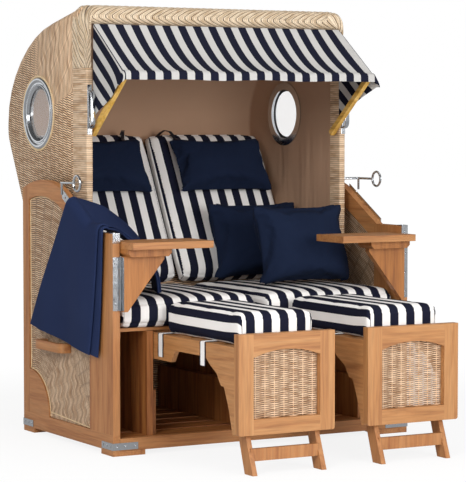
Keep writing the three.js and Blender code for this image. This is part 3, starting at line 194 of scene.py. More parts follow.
def grained(name, default_axis, regions=(), light=WOOD_LIGHT, mid=WOOD_MID, deep=WOOD_DEEP):
    """Wood whose grain runs along default_axis, and along another axis inside each region."""
    material, shader, node = new_material(name)
    spot = node("TexCoord", out=3)
    parts = node("SeparateXYZ", (spot,), out=None)

    def stretched(axis, shift):
        scale = [GRAIN_ACROSS] * 3
        scale["XYZ".index(axis)] = GRAIN_ALONG
        return node("Mapping", {"Vector": spot, "Location": (shift, 2 * shift, 3 * shift),
                                "Scale": tuple(scale)})

    along = stretched(default_axis, 0.0)
    for number, (axis, limits) in enumerate(regions):
        mask = None
        for letter, low, high in limits:
            inside = node("Math", (parts["XYZ".index(letter)], (low + high) / 2, (high - low) / 2),
                          "COMPARE")
            mask = inside if mask is None else node("Math", (mask, inside), "MULTIPLY")
        other = stretched(axis, 5.3 * (number + 1))
        along = node("Mix", {0: mask, 4: along, 5: other}, out=1, data_type="VECTOR")
    grain = node("TexNoise", {"Vector": along, "Scale": 1.0, "Detail": 5.0, "Roughness": 0.62,
                              "Distortion": 0.7})
    toned = linear(deep)
    for start, end, next_tone in ((GRAIN_DEEP, GRAIN_MID, mid), (GRAIN_MID, GRAIN_LIGHT, light)):
        share = node("MapRange", (grain, start, end))
        toned = node("Mix", {0: share, 6: toned, 7: linear(next_tone)}, **AS_COLOUR)
    finer = node("VectorMath", {0: along, 3: 5.0}, "SCALE")
    pores = node("TexNoise", {"Vector": finer, "Scale": 1.0, "Detail": 2.0})
    pore_shade = node("MapRange", (pores, 0.3, 0.6, 0.84, 1.04))
    toned = node("Mix", {0: 1.0, 6: toned, 7: pore_shade}, **AS_COLOUR, blend_type="MULTIPLY")
    feed(shader, "Base Color", toned)
    feed(shader, "Roughness", node("MapRange", (grain, 0, 1, 0.58, 0.42)))
    edges = node("Bevel", {"Radius": BROKEN_EDGE}, samples=4)
    feed(shader, "Normal", node("Bump", {"Height": pores, "Strength": 0.25, "Distance": PORE_DEPTH,
                                         "Normal": edges}))
    return material


def finish_node(name, material):
    """Gives a CAD node its material."""
    piece = nodes[name]
    piece.data.materials.clear()
    piece.data.materials.append(material)


side_low, side_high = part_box("side_frame_left")
front_plane, rear_plane = side_low.y, side_high.y
side_wood = grained("oiled hardwood, side frames", "Y", [
    ("Z", [("Y", front_plane - 0.01, front_plane + FRONT_STILE)]),
    ("Z", [("Y", rear_plane - REAR_STILE, rear_plane + 0.01)]),
    ("Y", [("Z", -0.01, BOTTOM_RAIL)]),
])
for side_name, _ in SIDES:
    finish_node(f"side_frame_{side_name}", side_wood)
rail_wood = grained("oiled hardwood, rails along the width", "X")
for name in ("front_rail", "seat_slats"):
    finish_node(name, rail_wood)
finish_node("rear_frame", grained("oiled hardwood, rear frame", "X", [
    ("Z", [("X", -0.021, 0.021), ("Z", 0.062, 0.42)]),
    ("Z", [("X", -0.6, -0.55)]), ("Z", [("X", 0.55, 0.6)]),
]))
# The partitions' wood is painted darker than the frames' oiled hardwood, as painted shade where they
# stand back inside the seat box.
finish_node("inner_frame", grained(
    "oiled hardwood, partitions", "Z", [("X", [("Z", 0.04, 0.0625)])],
    light="#b3773f", mid="#985c2e", deep="#743d1c"))


# Side and rear infills: flat resin strand woven over upright stakes, pinned into the frame
# and edged with a twisted cord. The rows fan out from the lower rear corner block; the lower
# front corner is a coarser twill of wavy cords. Strands are 7 mm, drawn at that real size.
STRAND, STAKE, TWILL_STRAND, TWILL_CORD = 0.00735, 0.0365, 0.0095, 0.038
# The gap colours here and below are painted shade in the hollows between and under the strands.
STRAW_LIGHT, STRAW_MID, STRAW_GAP_SHADE = "#e8c8a6", "#b68e69", "#311d12"
FAN_CENTRE = Vector((0, rear_plane - REAR_STILE, BOTTOM_RAIL))
CORNER_REAR_LINE = ((0.366, 0.185), (0.169, 0.333))
CORNER_FRONT_LINE = ((0.169, 0.345), (0.104, 0.283))
EDGE_CORD, CORD_STEP, CORD_SIDES, CORD_LAY = 0.0028, 0.0022, 7, 0.009
DOUBLES = 0.00002


def arched(node, place, steep=-4.0, flat=False):
    """A height rounded across each whole step of a place, 1 in its middle, and its number."""
    number = node("Math", (place,), "FLOOR")
    within = node("Math", (place, number), "SUBTRACT")
    centred = node("Math", (within, 0.5), "SUBTRACT")
    squared = node("Math", (centred, centred), "MULTIPLY")
    if flat:
        squared = node("Math", (squared, squared), "MULTIPLY")
    return node("Math", (squared, steep, 1.0), "MULTIPLY_ADD"), number


def strand_rows(node, across, along, pitch=STRAND):
    """Strands over and under stakes: the height of the upper strand, and its number."""
    rows = node("Math", (across, pitch), "DIVIDE")
    swing = node("Math", (node("Math", (along, math.pi / STAKE), "MULTIPLY"),), "COSINE")
    heights, numbers = [], []
    for shift, low, high in ((0.0, 0.25, 1.0), (0.5, 1.0, 0.25)):
        rounded, number = arched(node, node("Math", (rows, shift), "ADD"))
        lifted = node("MapRange", (swing, -0.4, 0.4, low, high))
        heights.append(node("Math", (rounded, lifted), "MULTIPLY"))
        numbers.append(node("Math", (number, 0.74 * shift), "ADD"))
    upper = node("Math", (heights[1], heights[0]), "GREATER_THAN")
    return node("Math", heights, "MAXIMUM"), node("Mix", {0: upper, 2: numbers[0], 3: numbers[1]})


def twill_cords(node, level, upright, wave=0.058, swing=0.008, lag=9.0):
    """Wavy upright cords of four strands each, every cord a little out of step with the last."""
    waves = node("Math", (upright, 2 * math.pi / wave), "MULTIPLY")
    curve = node("Math", (node("Math", (level, lag * math.pi, waves), "MULTIPLY_ADD"),), "SINE")
    bent = node("Math", (curve, swing, level), "MULTIPLY_ADD")
    strand, number = arched(node, node("Math", (bent, TWILL_STRAND), "DIVIDE"))
    cord, _ = arched(node, node("Math", (bent, TWILL_CORD), "DIVIDE"))
    height = node("Math", (strand, node("Math", (cord, 0.5, 0.5), "MULTIPLY_ADD")), "MULTIPLY")
    return node("Math", (height, 0.66, 0.34), "MULTIPLY_ADD"), number


def two_weaves(node, share, first, second):
    """One weave's height, number and run where the share is 0, and another's where it is 1."""
    return [node("Mix", {0: share, 2: a, 3: b}) for a, b in zip(first, second)]


def above_line(node, across, up, start, end, blur=0.006):
    """1 on the upper side of a line from start to end, 0 below it."""
    grade = (end[1] - start[1]) / (end[0] - start[0])
    line = node("Math", (across, grade, start[1] - grade * start[0]), "MULTIPLY_ADD")
    return node("MapRange", (node("Math", (up, line), "SUBTRACT"), -blur, blur))


def woven(name, lay, light=STRAW_LIGHT, mid=STRAW_MID, gap_shade=STRAW_GAP_SHADE, depth=0.0026, wander=0.0022,
          fine=11.0, shaded=(0.34, 0.86)):
    """Resin strand with the pattern that lay(node, spot, drift) gives as height, number and run. Its
    low places, between and under the strands, are painted in the gap colour as painted shade.
    """
    material, shader, node = new_material(name)
    spot = node("TexCoord", out=3)
    drift = node("TexNoise", {"Vector": spot, "Scale": 13.0, "Detail": 2.0}, out=1)
    centred = node("VectorMath", (drift, (0.5, 0.5, 0.5)), "SUBTRACT")
    height, number, run = lay(node, spot, node("VectorMath", {0: centred, 3: 2 * wander}, "SCALE"))
    tone_spot = node("CombineXYZ", (run, number))
    tone_spot = node("VectorMath", (tone_spot, (fine, 3.7, 1.0)), "MULTIPLY")
    tone = node("TexNoise", {"Vector": tone_spot, "Scale": 1.0, "Detail": 2.0})
    toned = node("MapRange", (tone, 0.34, 0.6))
    straw = node("Mix", {0: toned, 6: linear(mid), 7: linear(light)}, **AS_COLOUR)
    # Painted shade: the lower the weave's height, the more the strand is mixed toward the dark gap
    # colour.
    shade = node("MapRange", (height, *shaded))
    feed(shader, "Base Color", node("Mix", {0: shade, 6: linear(gap_shade), 7: straw}, **AS_COLOUR))
    feed(shader, "Roughness", node("MapRange", (tone, 0, 1, 0.7, 0.45)))
    feed(shader, "Normal", node("Bump", {"Height": height, "Strength": 1.0, "Distance": depth}))
    return material


def side_lay(node, spot, drift):
    """The fan of fine rows, and the twill in the lower front corner."""
    moved = node("VectorMath", (spot, drift), "ADD")
    _, y, z = node("SeparateXYZ", (moved,), out=None)
    back = node("Math", (FAN_CENTRE.y, y), "SUBTRACT")
    up = node("Math", (z, FAN_CENTRE.z), "SUBTRACT")
    reach = node("VectorMath", (node("CombineXYZ", (back, up)),), "LENGTH", out=1)
    arc = node("Math", (node("Math", (up, back), "ARCTAN2"), 0.4), "MULTIPLY")
    low_rear = above_line(node, y, z, *CORNER_REAR_LINE)
    low_front = above_line(node, y, z, *CORNER_FRONT_LINE, blur=0.01)
    fine_share = node("Math", (low_rear, low_front), "MAXIMUM")
    return *two_weaves(node, fine_share, twill_cords(node, y, z), strand_rows(node, reach, arc)), arc


def level_lay(node, spot, drift):
    """Level rows across the width."""
    x, _, z = node("SeparateXYZ", (node("VectorMath", (spot, drift), "ADD"),), out=None)
    return *strand_rows(node, z, x), x


def select_only(piece):
    bpy.ops.object.select_all(action="DESELECT")
    piece.select_set(True)
    bpy.context.view_layer.objects.active = piece


def placed(name, mesh):
    """A new object with a mesh, in the scene."""
    piece = bpy.data.objects.new(name, mesh)
    scene.collection.objects.link(piece)
    return piece


def turned_out(piece, doubles=None):
    """Turns the faces outwards, and first merges doubles if their distance is given."""
    select_only(piece)
    bpy.ops.object.mode_set(mode="EDIT")
    bpy.ops.mesh.select_all(action="SELECT")
    if doubles:
        bpy.ops.mesh.remove_doubles(threshold=doubles)
    bpy.ops.mesh.normals_make_consistent(inside=False)
    bpy.ops.object.mode_set(mode="OBJECT")
    return piece


def smoothed(piece, degrees):
    """Shades the curves smooth up to an angle between faces."""
    select_only(piece)
    bpy.ops.object.shade_smooth_by_angle(angle=math.radians(degrees))
    return piece


def tidied(piece, degrees=60):
    return smoothed(turned_out(piece, DOUBLES), degrees)


def dressed(piece, finish, body, node_name=None):
    """Gives a piece its material and, where it has them, hides the CAD node it replaces and puts it
    on its body.
    """
    piece.data.materials.append(finish)
    if node_name:
        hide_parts(node_name)
    if body:
        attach(piece, body)


def copied(node_name, name):
    """A merged copy of a CAD solid, to work on."""
    piece = placed(name, nodes[node_name].data.copy())
    piece.data.materials.clear()
    return turned_out(piece, DOUBLES)


def from_rows(name, rows, ring=False, loop=False):
    """A mesh from rows of points; ring closes each row, loop joins the last row to the first."""
    count = len(rows[0])
    faces = []
    for i in range(len(rows) if loop else len(rows) - 1):
        here, after = i * count, (i + 1) % len(rows) * count
        for j in range(count if ring else count - 1):
            k = (j + 1) % count
            faces.append((here + j, here + k, after + k, after + j))
    if ring and not loop:
        faces.append(tuple(reversed(range(count))))
        faces.append(tuple((len(rows) - 1) * count + j for j in range(count)))
    mesh = bpy.data.meshes.new(name)
    mesh.from_pydata([tuple(p) for row in rows for p in row], [], faces)
    return placed(name, mesh)


def evened(points, step, closed=False):
    """Points a step apart along a line of points."""
    line = points + [points[0]] if closed else points
    lengths = [0.0]
    for a, b in zip(line, line[1:]):
        lengths.append(lengths[-1] + (b - a).length)
    count = max(2, round(lengths[-1] / step))
    even, k = [], 0
    for i in range(count if closed else count + 1):
        goal = lengths[-1] * i / count
        while k < len(line) - 2 and lengths[k + 1] < goal:
            k += 1
        share = (goal - lengths[k]) / max(lengths[k + 1] - lengths[k], 1e-9)
        even.append(line[k].lerp(line[k + 1], min(share, 1.0)))
    return even


def twisted_cord(name, points, radius):
    """A two-strand twisted cord along a closed line of points in a plane across the chair."""
    path = evened(points, CORD_STEP, True)
    rows = []
    for i, here in enumerate(path):
        tangent = (path[(i + 1) % len(path)] - path[i - 1]).normalized()
        beside = tangent.cross(Vector((1, 0, 0))).normalized()
        top = beside.cross(tangent)
        run = (i + 1) * CORD_STEP
        ring = []
        for k in range(CORD_SIDES):
            turn = 2 * math.pi * k / CORD_SIDES
            swell = radius * (0.9 + 0.14 * math.cos(2 * (turn - math.pi * run / CORD_LAY)))
            ring.append(here + swell * (math.cos(turn) * beside + math.sin(turn) * top))
        rows.append(ring)
    return tidied(from_rows(name, rows, ring=True, loop=True))


def mottled(name, scale, dark, light, rough):
    """A plain material whose colour and gloss vary with one noise."""
    material, shader, node = new_material(name)
    tone = node("TexNoise", {"Vector": node("TexCoord", out=3), "Scale": scale})
    feed(shader, "Base Color", node("Mix", {0: tone, 6: linear(dark), 7: linear(light)}, **AS_COLOUR))
    feed(shader, "Roughness", node("MapRange", (tone, 0, 1, *rough)))
    return material


cord_finish = mottled("twisted resin cord", 90.0, "#c9a578", "#f0dcb6", (0.7, 0.5))

side_weave = woven("woven resin strand, side infills", side_lay)
level_weave = woven("woven resin strand, level rows", level_lay)
for side_name, _ in SIDES:
    infill = copied(f"side_wicker_{side_name}", f"side_weave_{side_name}")
    dressed(infill, side_weave, "base", f"side_wicker_{side_name}")
    skin = max(abs(v.co.x) for v in infill.data.vertices)
    corners = [v.co for v in infill.data.vertices if abs(v.co.x) > skin - 0.001]
    middle = sum(corners, Vector()) / len(corners)
    around = sorted(corners, key=lambda p: math.atan2(p.z - middle.z, p.y - middle.y))
    inset = [p + (middle - p).normalized() * EDGE_CORD for p in around]
    edging = twisted_cord(f"side_edging_{side_name}", inset, EDGE_CORD)
    dressed(edging, cord_finish, "base")
dressed(copied("rear_wicker", "rear_weave"), level_weave, "base", "rear_wicker")


# Polished stainless steel fittings: folded brackets round the feet, arm caps, perforated
# recline strips and hinges, each fixed with countersunk cross-head screws. Pressed or bent,
# then buffed, so they mirror the room with soft streaks.
BRACKET_BAND = 0.025
SCREW_RADIUS, SCREW_DEEP, SCREW_RECESS = 0.0042, 0.0024, 0.0012
BACK_BRACKET_LONG, BACK_BRACKET_WIDE, BACK_BRACKET_THICK = 0.091, 0.1, 0.002
BACK_BRACKET_PROUD = 0.0012
SCREWS_ACROSS, SCREWS_ALONG = (0.016, 0.05, 0.088), (0.018, 0.048, 0.078)
CAP_SCREW_INSET, LEAF_SCREW_INSET, LEAF_SCREW_SINK = 0.012, 0.010, 0.0014

steel, shader, node = new_material("polished stainless steel")
feed(shader, "Base Color", linear("#cbced2"))
feed(shader, "Metallic", 1.0)
buffed_spot = node("TexCoord", out=3)
buffing = node("TexNoise", {"Vector": buffed_spot, "Scale": 60.0, "Detail": 3.0})
feed(shader, "Roughness", node("MapRange", (buffing, 0, 1, 0.08, 0.26)))
dents = node("TexNoise", {"Vector": buffed_spot, "Scale": 35.0})
feed(shader, "Normal", node("Bump", {"Height": dents, "Strength": 0.12, "Distance": 0.002}))
for side_name, _ in SIDES:
    for fitting in ("corner_bracket", "recline_strip", "arm_cap", "table_hinge_post_leaf",
                    "table_hinge_leaf"):
        finish_node(f"{fitting}_{side_name}", steel)


def screw_model():
    """A domed screw head with a cross recess, facing +Z, its rim at the origin's height."""
    bpy.ops.object.select_all(action="DESELECT")
    bpy.ops.mesh.primitive_cylinder_add(vertices=16, radius=SCREW_RADIUS, depth=SCREW_DEEP)
    head = bpy.context.object
    mesh = bmesh.new()
    mesh.from_mesh(head.data)
    for inset, rise in ((0.35, 0.0007), (0.3, 0.0)):
        top = [f for f in mesh.faces if f.normal.z > 0.9 and len(f.verts) > 8]
        bmesh.ops.inset_region(mesh, faces=top, thickness=SCREW_RADIUS * inset, depth=0.0)
        top = [f for f in mesh.faces if f.normal.z > 0.9 and len(f.verts) > 8]
        for vertex in top[0].verts:
            vertex.co.z += rise
    middle = bmesh.ops.poke(mesh, faces=top)["verts"][0]
    middle.co.z -= SCREW_RECESS
    mesh.to_mesh(head.data)
    mesh.free()
    return head


screw = screw_model()


def joined(pieces, name):
    """Joins pieces into the first of them."""
    select_only(pieces[0])
    for other in pieces[1:]:
        other.select_set(True)
    bpy.ops.object.join()
    pieces[0].name = name
    return pieces[0]


def screwed(name, places, body):
    """Screw heads at (place, outward direction) pairs, joined as one piece on a body."""
    heads = []
    for place, outward in places:
        head = placed(name, screw.data.copy())
        head.data.materials.clear()
        turn = Vector(outward).to_track_quat("Z", "Y").to_matrix().to_4x4()
        head.data.transform(Matrix.Translation(Vector(place)) @ turn)
        heads.append(head)
    dressed(joined(heads, name), steel, body)


def bracket_screws(name, side, outer, end, facing, z):
    """Three screws in each arm of a corner bracket."""
    places = [((outer - side * d, end, z), (0, facing, 0)) for d in SCREWS_ACROSS]
    places += [((outer, end - facing * d, z), (side, 0, 0)) for d in SCREWS_ALONG]
    screwed(name, places, "base")


for side_name, side in SIDES:
    low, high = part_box(f"corner_bracket_{side_name}")
    mid_z = (low.z + high.z) / 2
    outer = side * max(abs(low.x), abs(high.x))
    bracket_screws(f"bracket_screws_{side_name}", side, outer, low.y, -1, mid_z)
    back = rear_plane + BACK_BRACKET_PROUD
    thick = BACK_BRACKET_THICK
    front, inner = back - BACK_BRACKET_LONG, outer - side * BACK_BRACKET_WIDE
    outline = [(outer, front), (outer, back), (inner, back), (inner, back - thick),
               (outer - side * thick, back - thick), (outer - side * thick, front)]
    rear_bracket = from_rows(f"rear_bracket_{side_name}", [
        [Vector((x, y, z)) for x, y in outline] for z in (low.z, low.z + BRACKET_BAND)], ring=True)
    dressed(tidied(rear_bracket, 20), steel, "base")
    bracket_screws(f"rear_bracket_screws_{side_name}", side, outer, back, 1, mid_z)
    low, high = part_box(f"arm_cap_{side_name}")
    mid_x = (low.x + high.x) / 2
    screwed(f"arm_cap_screws_{side_name}", [
        ((mid_x, high.y - CAP_SCREW_INSET, high.z), (0, 0, 1)),
        ((mid_x, low.y, low.z + CAP_SCREW_INSET), (0, -1, 0))], "base")
    low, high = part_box(f"table_hinge_post_leaf_{side_name}")
    leaf_x = side * (max(abs(low.x), abs(high.x)) - LEAF_SCREW_INSET)
    screwed(f"hinge_screws_{side_name}", [
        ((leaf_x, high.y - LEAF_SCREW_SINK, low.z + share * (high.z - low.z)), (0, -1, 0))
        for share in (0.12, 0.5, 0.88)], "base")


# Carry handles: a bowed grip sawn from one board, rounded over and screwed to the infill.
GRIP_ROUND = 0.004


def modified(piece, kind, **settings):
    """Adds a modifier with its settings and applies it."""
    select_only(piece)
    added = piece.modifiers.new(kind.lower(), kind)
    for key, value in settings.items():
        setattr(added, key, value)
    bpy.ops.object.modifier_apply(modifier=added.name)
    return piece


for side_name, _ in SIDES:
    grip = copied(f"carry_handle_{side_name}", f"carry_grip_{side_name}")
    modified(grip, "BEVEL", width=GRIP_ROUND, segments=3, limit_method="ANGLE",
             angle_limit=math.radians(40))
    dressed(smoothed(grip, 40), grained(f"oiled hardwood, carry handle {side_name}", "Y"),
            "base", f"carry_handle_{side_name}")


# Hood pivots: a turned pin and collar on each rear stile, on which the whole hood reclines.
for side_name, _ in SIDES:
    pin = tidied(copied(f"hood_pivot_{side_name}", f"pivot_pin_{side_name}"), 40)
    dressed(pin, steel, "base", f"hood_pivot_{side_name}")


# Hood: resin strand woven over a hidden wooden frame, in level rows that turn upwards at the
# back. Round the brow it is a coarser twill of wavy upright cords, which runs over the roof.
# The inside is lined with taupe canvas, stretched and stapled, with a few soft folds low down.
hood_low, hood_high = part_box("hood_shell")
BARREL = Vector((0, 0.313, 1.10))
BARREL_RADIUS = 0.52
HOOD_STRAND = 0.0088
ROOF_SWELL, SWELL_FROM, SWELL_RISE, SWELL_BACK = 0.008, 1.3, 0.2, 0.12
BROW_LINE = ((0.093, 1.328), (0.229, 1.286))
NAPE_LINE = ((0.682, 1.395), (0.799, 1.308))
PORTHOLE_PAST, ROOF_FROM, ROOF_FULL = (0.52, 0.6), 0.26, 0.28
REAR_TILT, REAR_START = 0.25, 0.25
HOOD_TWILL = dict(wave=0.11, swing=0.006, lag=15.0)
HOOD_STRAW = dict(light="#f3d0ab", mid="#c79e77", gap_shade="#2f1c11")


def hood_side_lay(node, spot, drift):
    """Level rows with the rear turned up, and the twill above the brow and nape lines."""
    moved = node("VectorMath", (spot, drift), "ADD")
    _, y, z = node("SeparateXYZ", (moved,), out=None)
    behind = node("Math", (node("Math", (y, REAR_START), "SUBTRACT"), 0.0), "MAXIMUM")
    level = node("Math", (behind, -REAR_TILT, z), "MULTIPLY_ADD")
    brow = above_line(node, y, z, *BROW_LINE)
    nape = above_line(node, y, z, *NAPE_LINE, blur=0.012)
    past_porthole = node("MapRange", (y, *PORTHOLE_PAST, 1.0, 0.0))
    twill = node("Math", (node("Math", (brow, past_porthole), "MULTIPLY"), nape), "MAXIMUM")
    return two_weaves(node, twill, (*strand_rows(node, level, y, HOOD_STRAND), y),
                  (*twill_cords(node, y, z, **HOOD_TWILL), z))


def hood_roof_lay(node, spot, drift):
    """Over the roof the twill, down the back the level rows, on the piece's own UV map."""
    moved = node("VectorMath", (node("UVMap", uv_map="weave"), drift), "ADD")
    across, along, _ = node("SeparateXYZ", (moved,), out=None)
    roof = node("MapRange", (along, ROOF_FROM, ROOF_FULL))
    return two_weaves(node, roof, (*strand_rows(node, along, across, HOOD_STRAND), across),
                  (*twill_cords(node, across, along, **HOOD_TWILL), along))


def lay_uv(piece, layer_name, place):
    """Writes a UV map: place(point, normal) gives each corner's flat position in metres."""
    mesh = piece.data
    layer = mesh.uv_layers.get(layer_name) or mesh.uv_layers.new(name=layer_name)
    for face in mesh.polygons:
        normal = face.normal
        for loop in face.loop_indices:
            layer.data[loop].uv = place(mesh.vertices[mesh.loops[loop].vertex_index].co, normal)


def round_barrel(point, normal):
    """Across the chair, and round the hood's barrel from behind the front bar."""
    turn = math.atan2(point.z - BARREL.z, point.y - BARREL.y)
    if turn < -math.pi / 2:
        turn += 2 * math.pi
    return (point.x, BARREL_RADIUS * turn)


hood = copied("hood_shell", "hood_weave")
lay_uv(hood, "weave", round_barrel)
for hood_name, hood_lay in (("hood sides", hood_side_lay), ("hood back and roof", hood_roof_lay)):
    hood.data.materials.append(woven(f"woven resin strand, {hood_name}", hood_lay, **HOOD_STRAW))
for face in hood.data.polygons:
    face.material_index = 0 if abs(face.normal.x) > 0.75 else 1
for vertex in hood.data.vertices:
    high_up = min(1.0, max(0.0, (vertex.co.z - SWELL_FROM) / SWELL_RISE))
    vertex.co.z += ROOF_SWELL * high_up * math.exp(-((vertex.co.y - hood_low.y) / SWELL_BACK) ** 2)
smoothed(hood, 35)
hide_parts("hood_shell")
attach(hood, "hood")

CLOTH_GLOSS = 0.12
FOLD_SLANT, FOLDS_FROM, FOLDS_FULL, FOLD_DEEP = math.radians(24), 1.22, 0.95, 0.02
lining_cloth, shader, node = new_material("taupe canvas lining")
lining_spot = node("TexCoord", out=3)
lining_threads = node("TexNoise", {"Vector": lining_spot, "Scale": 700.0})
lining_tone = node("TexNoise", {"Vector": lining_spot, "Scale": 2.6, "Detail": 3.0})
feed(shader, "Base Color", node("Mix", {0: lining_tone, 6: linear("#ae8b72"),
                                        7: linear("#c19e83")}, **AS_COLOUR))
feed(shader, "Roughness", 0.88)
feed(shader, "Specular IOR Level", CLOTH_GLOSS)
fold_spot = node("Mapping", {"Vector": lining_spot, "Rotation": (FOLD_SLANT, 0, 0),
                             "Scale": (1.0, 17.0, 2.4)})
folds = node("TexNoise", {"Vector": fold_spot, "Scale": 1.0, "Detail": 1.0})
low_down = node("MapRange", (node("SeparateXYZ", (lining_spot,), out=2), FOLDS_FROM, FOLDS_FULL))
folds = node("Math", (folds, low_down), "MULTIPLY")
fold_relief = node("Bump", {"Height": folds, "Strength": 0.8, "Distance": FOLD_DEEP})
feed(shader, "Normal", node("Bump", {"Height": lining_threads, "Strength": 0.2, "Distance": 0.0004,
                                     "Normal": fold_relief}))
lining = smoothed(copied("hood_lining", "hood_canvas"), 35)
dressed(lining, lining_cloth, "hood", "hood_lining")


# Braided rim: four-strand ribbons of resin plaited in a herringbone round a padded core,
# bound over the hood's front edge. Its rows are swept along the rim, each in a V.
rim_low, rim_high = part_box("hood_rim")
RIM_SIDE, RIM_TOP, RIM_ROUND, RIM_EASE, RIM_DIP = 0.027, 0.070, 0.036, 0.008, 0.6
RIM_UP, RIM_BEND, RIM_ACROSS = 14, 12, 40
BRAID_STRAND, BRAID_GROUP, BRAID_ANGLE = 0.0091, 0.0273, math.radians(36)
BRAID_AROUND, BRAID_STEP, BRAID_CENTRE = 52, 0.0023, 0.8
BRAID_REACH, BRAID_TAIL, BRAID_PROUD = 0.160, 0.050, 0.0022
BRAID_SQUARE, BRAID_INSET, BRAID_FRONT_INSET = 0.55, 0.003, 0.004
BRAID_SWING, BRAID_TUCK = 0.2, 0.84
BRAID_RIDGE, BRAID_GROOVE, BRAID_SEAM = 0.0034, 0.0024, 0.008
rim_y, rim_half = (rim_low.y + rim_high.y) / 2, (rim_high.y - rim_low.y) / 2
rim_out, rim_in = rim_high.x, rim_high.x - RIM_SIDE
rim_under = rim_high.z - RIM_TOP


def rim_outline():
    """Matching points on the rim's outer and inner edges, up the left, over and down the right."""
    stations = []
    for k in range(RIM_UP + 1):
        z = rim_low.z + (rim_under - rim_low.z) * k / RIM_UP
        stations.append((Vector((-rim_out, 0, z)), Vector((-rim_in, 0, z))))
    corner = Vector((-rim_out + RIM_ROUND, 0, rim_high.z - RIM_ROUND))
    for k in range(1, RIM_BEND + 1):
        turn = math.pi - math.pi / 2 * k / RIM_BEND
        outer = corner + RIM_ROUND * Vector((math.cos(turn), 0, math.sin(turn)))
        outer.z -= (corner.z - rim_under) * (1 - k / RIM_BEND) * RIM_DIP
        stations.append((outer, Vector((-rim_in + RIM_EASE * k / RIM_BEND, 0, rim_under))))
    left = list(stations)
    for k in range(1, RIM_ACROSS + 1):
        x = corner.x - 2 * corner.x * k / RIM_ACROSS
        inner_x = max(-rim_in + RIM_EASE, min(rim_in - RIM_EASE, x))
        stations.append((Vector((x, 0, rim_high.z)), Vector((inner_x, 0, rim_under))))
    return stations + [(Vector((-o.x, 0, o.z)), Vector((-i.x, 0, i.z))) for o, i in reversed(left)]


rim_stations = rim_outline()
rim_middles = [(o + i) / 2 for o, i in rim_stations]
rim_lengths = [0.0]
for a, b in zip(rim_middles, rim_middles[1:]):
    rim_lengths.append(rim_lengths[-1] + (b - a).length)


def rim_section(run):
    """The centre, outward direction and half thickness of the rim at a distance along it."""
    run = min(max(run, 0.0), rim_lengths[-1])
    k = 0
    while k < len(rim_lengths) - 2 and rim_lengths[k + 1] < run:
        k += 1
    share = (run - rim_lengths[k]) / max(rim_lengths[k + 1] - rim_lengths[k], 1e-9)
    outer = rim_stations[k][0].lerp(rim_stations[k + 1][0], share)
    inner = rim_stations[k][1].lerp(rim_stations[k + 1][1], share)
    return (outer + inner) / 2, (outer - inner).normalized(), (outer - inner).length / 2


def rim_point(run, turn, lift):
    """A point of the braid: turn goes round the section from the middle of its front face. On
    the outer side the plait runs on behind the rim, over the hood's weave."""
    middle, outward, half = rim_section(run)
    c, s = math.cos(turn), math.sin(turn)
    front = -math.copysign(abs(c) ** BRAID_SQUARE, c) * (rim_half - BRAID_FRONT_INSET + lift)
    out = math.copysign(abs(s) ** BRAID_SQUARE, s) * (half - BRAID_INSET + lift)
    behind = (turn - math.pi / 2) / (math.pi / 2)
    if behind > 0:
        out = half - BRAID_INSET + lift + (BRAID_INSET + BRAID_PROUD) * min(1, behind / BRAID_SWING)
        front = (rim_half + BRAID_TAIL) * min(1, behind / BRAID_TUCK)
        if behind > BRAID_TUCK:
            tucked = (behind - BRAID_TUCK) / (1 - BRAID_TUCK)
            out *= 1 - tucked
            front -= BRAID_TAIL * tucked
    point = middle + outward * out
    return Vector((point.x, rim_y + front, point.z))


def braid_away(turn, half):
    """How far round the section from the middle of the front face a turn is."""
    s, c = abs(math.sin(turn)) ** BRAID_SQUARE, abs(math.cos(turn)) ** BRAID_SQUARE
    if abs(turn) <= math.pi / 2:
        return half * s + rim_half * (1 - c)
    if turn < 0:
        return half * (2 - s) + rim_half * (1 + c)
    return half + rim_half + (rim_half + BRAID_TAIL) * (turn - math.pi / 2) / (math.pi / 2)


def numbered_uv(piece, layer_name, places):
    """Writes a UV map from one flat position for each vertex."""
    layer = piece.data.uv_layers.new(name=layer_name)
    for loop in piece.data.loops:
        layer.data[loop.index].uv = places[loop.vertex_index]


braid_rows, braid_places = [], []
lean = 1 / math.tan(BRAID_ANGLE)
for i in range(int((rim_lengths[-1] + lean * BRAID_REACH) / BRAID_STEP) + 1):
    order = i * BRAID_STEP - lean * BRAID_REACH
    row = []
    for j in range(BRAID_AROUND):
        turn = 2 * math.pi * j / BRAID_AROUND
        turned = turn if turn <= math.pi else turn - 2 * math.pi
        half = rim_section(order + lean * BRAID_REACH / 3)[2]
        around = math.copysign(braid_away(turned, half), turned)
        around -= BRAID_CENTRE * max(0.0, rim_half - half)
        away = abs(around)
        shift = BRAID_GROUP / 2 if around < 0 else 0.0
        group = (order + shift) / BRAID_GROUP
        group_height = 1 - abs(2 * (group - math.floor(group)) - 1) ** 3
        near_middle = min(1.0, away / BRAID_SEAM + 0.25)
        lift = near_middle * (BRAID_RIDGE * group_height - BRAID_GROOVE)
        row.append(rim_point(order + lean * away, turned, lift))
        braid_places.append((order + shift, away))
    braid_rows.append(row)
braid = from_rows("hood_braid", braid_rows, ring=True)
numbered_uv(braid, "weave", braid_places)
tidied(braid, 75)


def braid_lay(node, spot, drift):
    """Strand ridges across the V rows."""
    order, away, _ = node("SeparateXYZ", (node("UVMap", uv_map="weave"),), out=None)
    strand, number = arched(node, node("Math", (order, BRAID_STRAND), "DIVIDE"), -3.3)
    group, _ = arched(node, node("Math", (order, BRAID_GROUP), "DIVIDE"), -15.6, flat=True)
    ribs, _ = arched(node, node("Math", (order, BRAID_STRAND / 4), "DIVIDE"), -0.9)
    coarse = node("Math", (strand, group), "MULTIPLY")
    return node("Math", (coarse, ribs), "MULTIPLY"), number, away


